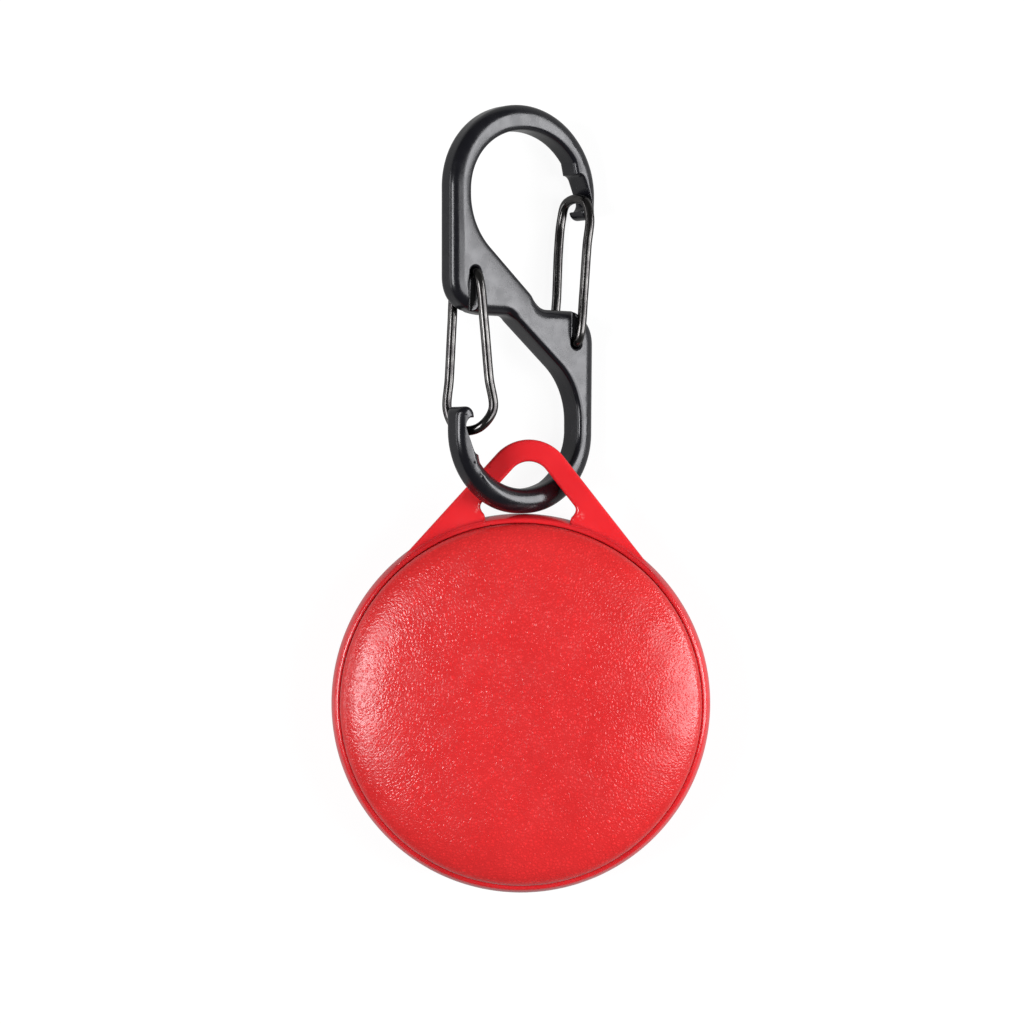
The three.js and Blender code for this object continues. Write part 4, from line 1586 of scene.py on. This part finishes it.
    def gate(self, name: str, lug: Lug, side: int, shifts: tuple[float, float] | None,
             node: str) -> Object:
        """A wire gate: two legs from the pivot hole, joined by a bend behind the nose.

        Args:
            name: The piece's name.
            lug: The lug that the hook hangs in.
            side: 1 for the upper gate, -1 for the lower.
            shifts: How far the front and back legs' ends stand out from the pivot, where they
                differ from the bend.
            node: The node that it stands for.

        Returns:
            The wire.
        """
        half = self.thickness / 2
        leg_height = half + self.face_gap + self.wire
        tip = self.upper_run - self.tip_drop if side > 0 else self.lower_run
        gap = self.upper_notch_gap if side > 0 else self.lower_notch_gap
        length = tip + self.pivot_along
        pivot = side * self.pivot(side)[0]
        middle = self.notch_place(side) - gap - pivot
        front, back = shifts or (middle, middle)

        def spot(across: float, along: float, through: float) -> list[float]:
            """A point of the gate from its pivot."""
            return [side * (pivot + across), side * (along - self.pivot_along), through]

        def leg(shift: float, sign: int) -> list[list[float]]:
            """A leg from inside its hole to where the bend starts.

            Args:
                shift: How far the leg's end stands out from the pivot.
                sign: 1 for the front leg, -1 for the back one.

            Returns:
                Its points, from the hole.
            """
            return [spot(0, 0, sign * (half - self.end_depth)),
                    spot(0, self.wire / 4, sign * (leg_height - self.wire)),
                    spot(0, self.wire * 2, sign * leg_height),
                    spot(shift / 3, length / 3, sign * (leg_height + self.gate_half) / 2),
                    spot(shift * 2 / 3, length * 2 / 3, sign * self.gate_half),
                    spot(shift, length - self.bend_radius, sign * self.gate_half)]

        def turn(shift: float, sign: int) -> list[float]:
            """The bend's shoulder.

            Args:
                shift: How far the leg's end stands out from the pivot.
                sign: 1 for the front leg, -1 for the back one.

            Returns:
                Its point.
            """
            return spot(middle + (shift - middle) * self.bend_across,
                        length - self.bend_radius * self.bend_drop,
                        sign * self.gate_half * self.bend_through)

        points = [*leg(front, 1), turn(front, 1), spot(middle, length, 0), turn(back, -1),
                  *leg(back, -1)[::-1]]
        route = self.placed(smooth_route(np.array(points), self.per_span), lug)
        made = wire(name, route, self.wire, self.axes()[0])
        return settle(made, Surface.WIRE, node, "gate_wire", node)


@dataclass
class Mechanism:
    """Return springs and snap disc, in millimetres."""

    circle: float = 13.8
    first: float = math.pi / 6
    springs: int = 3
    coil: float = 1.45
    wire: float = 0.17
    turns: int = 4
    turn_steps: int = 28
    closing: float = 0.8
    seat: float = 4.9
    gap: float = 0.05
    top: float = 8.8
    disc: float = 8.3
    disc_seat: float = 2.0
    disc_rise: float = 1.5
    disc_thickness: float = 0.25
    travel: float = 1.0
    wire_sides: int = 12
    disc_rows: int = 25
    disc_segments: int = 96

    def give(self, made: Object) -> None:
        """Gives a piece a mesh of its own."""
        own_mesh(made)

    def spring(self, number: int) -> Object:
        """A coil of round wire whose end turns close up: its height is t less a share of its sine.

        Args:
            number: The spring's number, from 1.

        Returns:
            The piece.
        """
        turn = self.first + (number - 1) * 2 * math.pi / self.springs
        t = np.linspace(0, 1, self.turns * self.turn_steps + 1)
        angle = 2 * np.pi * self.turns * t
        low, high = self.seat + self.gap + self.wire, self.top - self.gap - self.wire
        height = low + (high - low) * (t - self.closing * np.sin(2 * np.pi * t) / (2 * np.pi))
        route = np.stack([self.circle * math.cos(turn) + self.coil * np.cos(angle),
                          self.circle * math.sin(turn) + self.coil * np.sin(angle), height], -1)
        made = wire(f"return_coil_{number}", route, self.wire, np.array([0, 0, 1.0]),
                    self.wire_sides)
        settle(made, Surface.SPRING, "case", "spring_steel", f"return_spring_{number}")
        self.give(made)
        return made

    def snap_dome(self) -> Object:
        """The domed disc under the plunger: its height falls with the square of the radius.

        Returns:
            The piece.
        """
        share = np.linspace(0, 1, self.disc_rows)
        under = np.stack([self.disc * share, self.disc_seat + self.disc_rise * (1 - share ** 2)], -1)
        over = under[::-1] + (0, self.disc_thickness)
        made = settle(turned("snap_dome", np.vstack([under, over]), self.disc_segments),
                      Surface.SPRING, "case", "spring_steel", "snap_disc")
        self.give(made)
        return made


# Stage, light and camera: metres, with millimetres for the pixel and the centre of the view


@dataclass(frozen=True)
class Lamp:
    """A rectangular lamp aimed at the object: bearing round from +X and height, in degrees.

    Its radiance is 1 where its face is as bright as white paper in full light, and diffuse is
    the share of its light that matt surfaces get.
    """

    name: str
    bearing: float
    height: float
    width: float
    length: float
    radiance: float
    diffuse: float = 1.0
    distance: float = 0.42


@dataclass
class Studio:
    """A white paper floor, two soft boxes, two low cards of light and a camera straight above."""

    pixels: int = 1024
    per_pixel: float = 0.1058
    centre: tuple[float, float] = (-0.93, 20.16)
    lean: float = 0.037
    distance: float = 0.32
    focus_height: float = 0.0052
    sensor: float = 36
    clip: tuple[float, float] = (0.01, 20)
    aim: tuple[float, float, float] = (0, 0.01, 0.008)
    daylight: tuple[float, float, float] = (0.97, 0.97, 1.0)
    room: float = 0.12
    floor_side: float = 1.5
    floor_drop: float = 0.00002
    floor_colour: str = "#6F6F6E"
    floor_glow: float = 0.88
    floor_mirror: float = 0.35
    lamps: tuple[Lamp, ...] = (
        Lamp("left_box", bearing=180, height=51, width=0.18, length=0.15, radiance=14.5),
        Lamp("right_box", bearing=0, height=40, width=0.19, length=0.34, radiance=6.6),
        Lamp("right_card", bearing=10, height=13, width=0.3, length=0.1, radiance=10.5, diffuse=0.45),
        Lamp("left_card", bearing=178, height=10, width=0.3, length=0.09, radiance=3.6, diffuse=0.4))

    def camera(self) -> None:
        """A camera looking straight down, turned by the hook's lean, framing a square of pixels."""
        made = bpy.data.cameras.new("camera")
        camera = add_object("camera", made)
        c, s = math.cos(self.lean), math.sin(self.lean)
        x, y = (value * MM for value in self.centre)
        camera.location = (c * x - s * y, s * x + c * y, self.focus_height + self.distance)
        camera.rotation_euler = (0, 0, self.lean)
        made.sensor_width = self.sensor
        made.lens = self.sensor * self.distance / (self.pixels * self.per_pixel * MM)
        made.clip_start, made.clip_end = self.clip
        bpy.context.scene.camera = camera

    def light(self, lamp: Lamp) -> None:
        """Places one lamp and aims it.

        Args:
            lamp: Its place, size and brightness.
        """
        data = bpy.data.lights.new(lamp.name, "AREA")
        data.shape = "RECTANGLE"
        data.size, data.size_y = lamp.width, lamp.length
        data.energy = lamp.radiance * math.pi * lamp.width * lamp.length
        data.diffuse_factor = lamp.diffuse
        data.color = self.daylight
        made = add_object(lamp.name, data)
        a, b = math.radians(lamp.bearing), math.radians(lamp.height)
        way = Vector((math.cos(a) * math.cos(b), math.sin(a) * math.cos(b), math.sin(b)))
        made.location = Vector(self.aim) + way * lamp.distance
        made.rotation_euler = way.to_track_quat("Z", "Y").to_euler()

    def surroundings(self) -> None:
        """A plain room: dim for the object, white behind it for the camera."""
        world = bpy.data.worlds.new("studio")
        bpy.context.scene.world = world
        board = Board(world)
        seen = board.add("ShaderNodeLightPath").outputs["Is Camera Ray"]
        back = board.add("ShaderNodeBackground", {
            "Color": (1, 1, 1, 1), "Strength": board.maths("MAXIMUM", seen, self.room)})
        board.add("ShaderNodeOutputWorld", {"Surface": back.outputs[0]})

    def floor(self) -> None:
        """A paper floor that keeps a faint shadow.

        It glows white for the camera, and dimly in what mirrors or lets through its light.
        """
        side = self.floor_side
        corners = np.array([[-side, -side], [side, -side], [side, side], [-side, side]]) / MM
        flat = np.column_stack([corners, np.full(4, -self.floor_drop / MM)])
        made = make_object("floor", flat, np.array([[0, 1, 2, 3]]), True)
        paper = bpy.data.materials.new("white_paper")
        board = Board(paper)
        path = board.add("ShaderNodeLightPath").outputs
        other = board.maths("MAXIMUM", path["Is Glossy Ray"], path["Is Transmission Ray"])
        mirror = board.maths("MULTIPLY", other, self.floor_mirror)
        seen = board.maths("MAXIMUM", path["Is Camera Ray"], mirror)
        sheet = board.add("ShaderNodeBsdfDiffuse", {"Color": linear(self.floor_colour)})
        glow = board.add("ShaderNodeEmission", {
            "Color": (1, 1, 1, 1), "Strength": board.maths("MULTIPLY", seen, self.floor_glow)})
        both = board.add("ShaderNodeAddShader", {0: sheet.outputs[0], 1: glow.outputs[0]})
        board.add("ShaderNodeOutputMaterial", {"Surface": both.outputs[0]})
        made.data.materials.append(paper)

    def build(self) -> None:
        """Sets everything that isn't part of the object."""
        bpy.context.scene.view_settings.view_transform = "Standard"
        self.camera()
        for lamp in self.lamps:
            self.light(lamp)
        self.surroundings()
        self.floor()


INNER_NODES = {
    Surface.GLOSS: ("front_button",),
    Surface.CARRIER: ("disc_retainer",),
    Surface.RUBBER: ("plunger_tip",),
    Surface.ZINC: ("case_screw_1", "case_screw_2", "case_screw_3", "retainer_screw_1",
                   "retainer_screw_2", "retainer_screw_3"),
}


def dress_nodes() -> None:
    """Gives each CAD node that stays in view its finish."""
    for finish, names in INNER_NODES.items():
        for name in names:
            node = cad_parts[name]
            for place in node.material_slots:
                place.material = finish.value.material()
            LOG.info("%s: %s", name, finish.value.name)


def main() -> None:
    """Builds the stage and every piece in order."""
    logging.basicConfig(level=logging.INFO, format="%(name)s %(message)s")
    Studio().build()
    case, lug, hook = Case(), Lug(), Hook()
    case.face()
    case.back_pad()
    case.shell()
    settle(joined("ring_with_lug", case.ring(), lug.build(case)), Surface.GLOSS, "case",
           "case_plastic", "frame_ring")
    hook.body(lug)
    hook.gate("upper_wire", lug, 1, None, "upper_gate")
    hook.gate("lower_wire", lug, -1, (-hook.twist, hook.twist / 2), "lower_gate")
    inside = Mechanism()
    inside.snap_dome()
    for number in range(1, inside.springs + 1):
        inside.spring(number)
    dress_nodes()


if __name__ == "__main__":
    main()
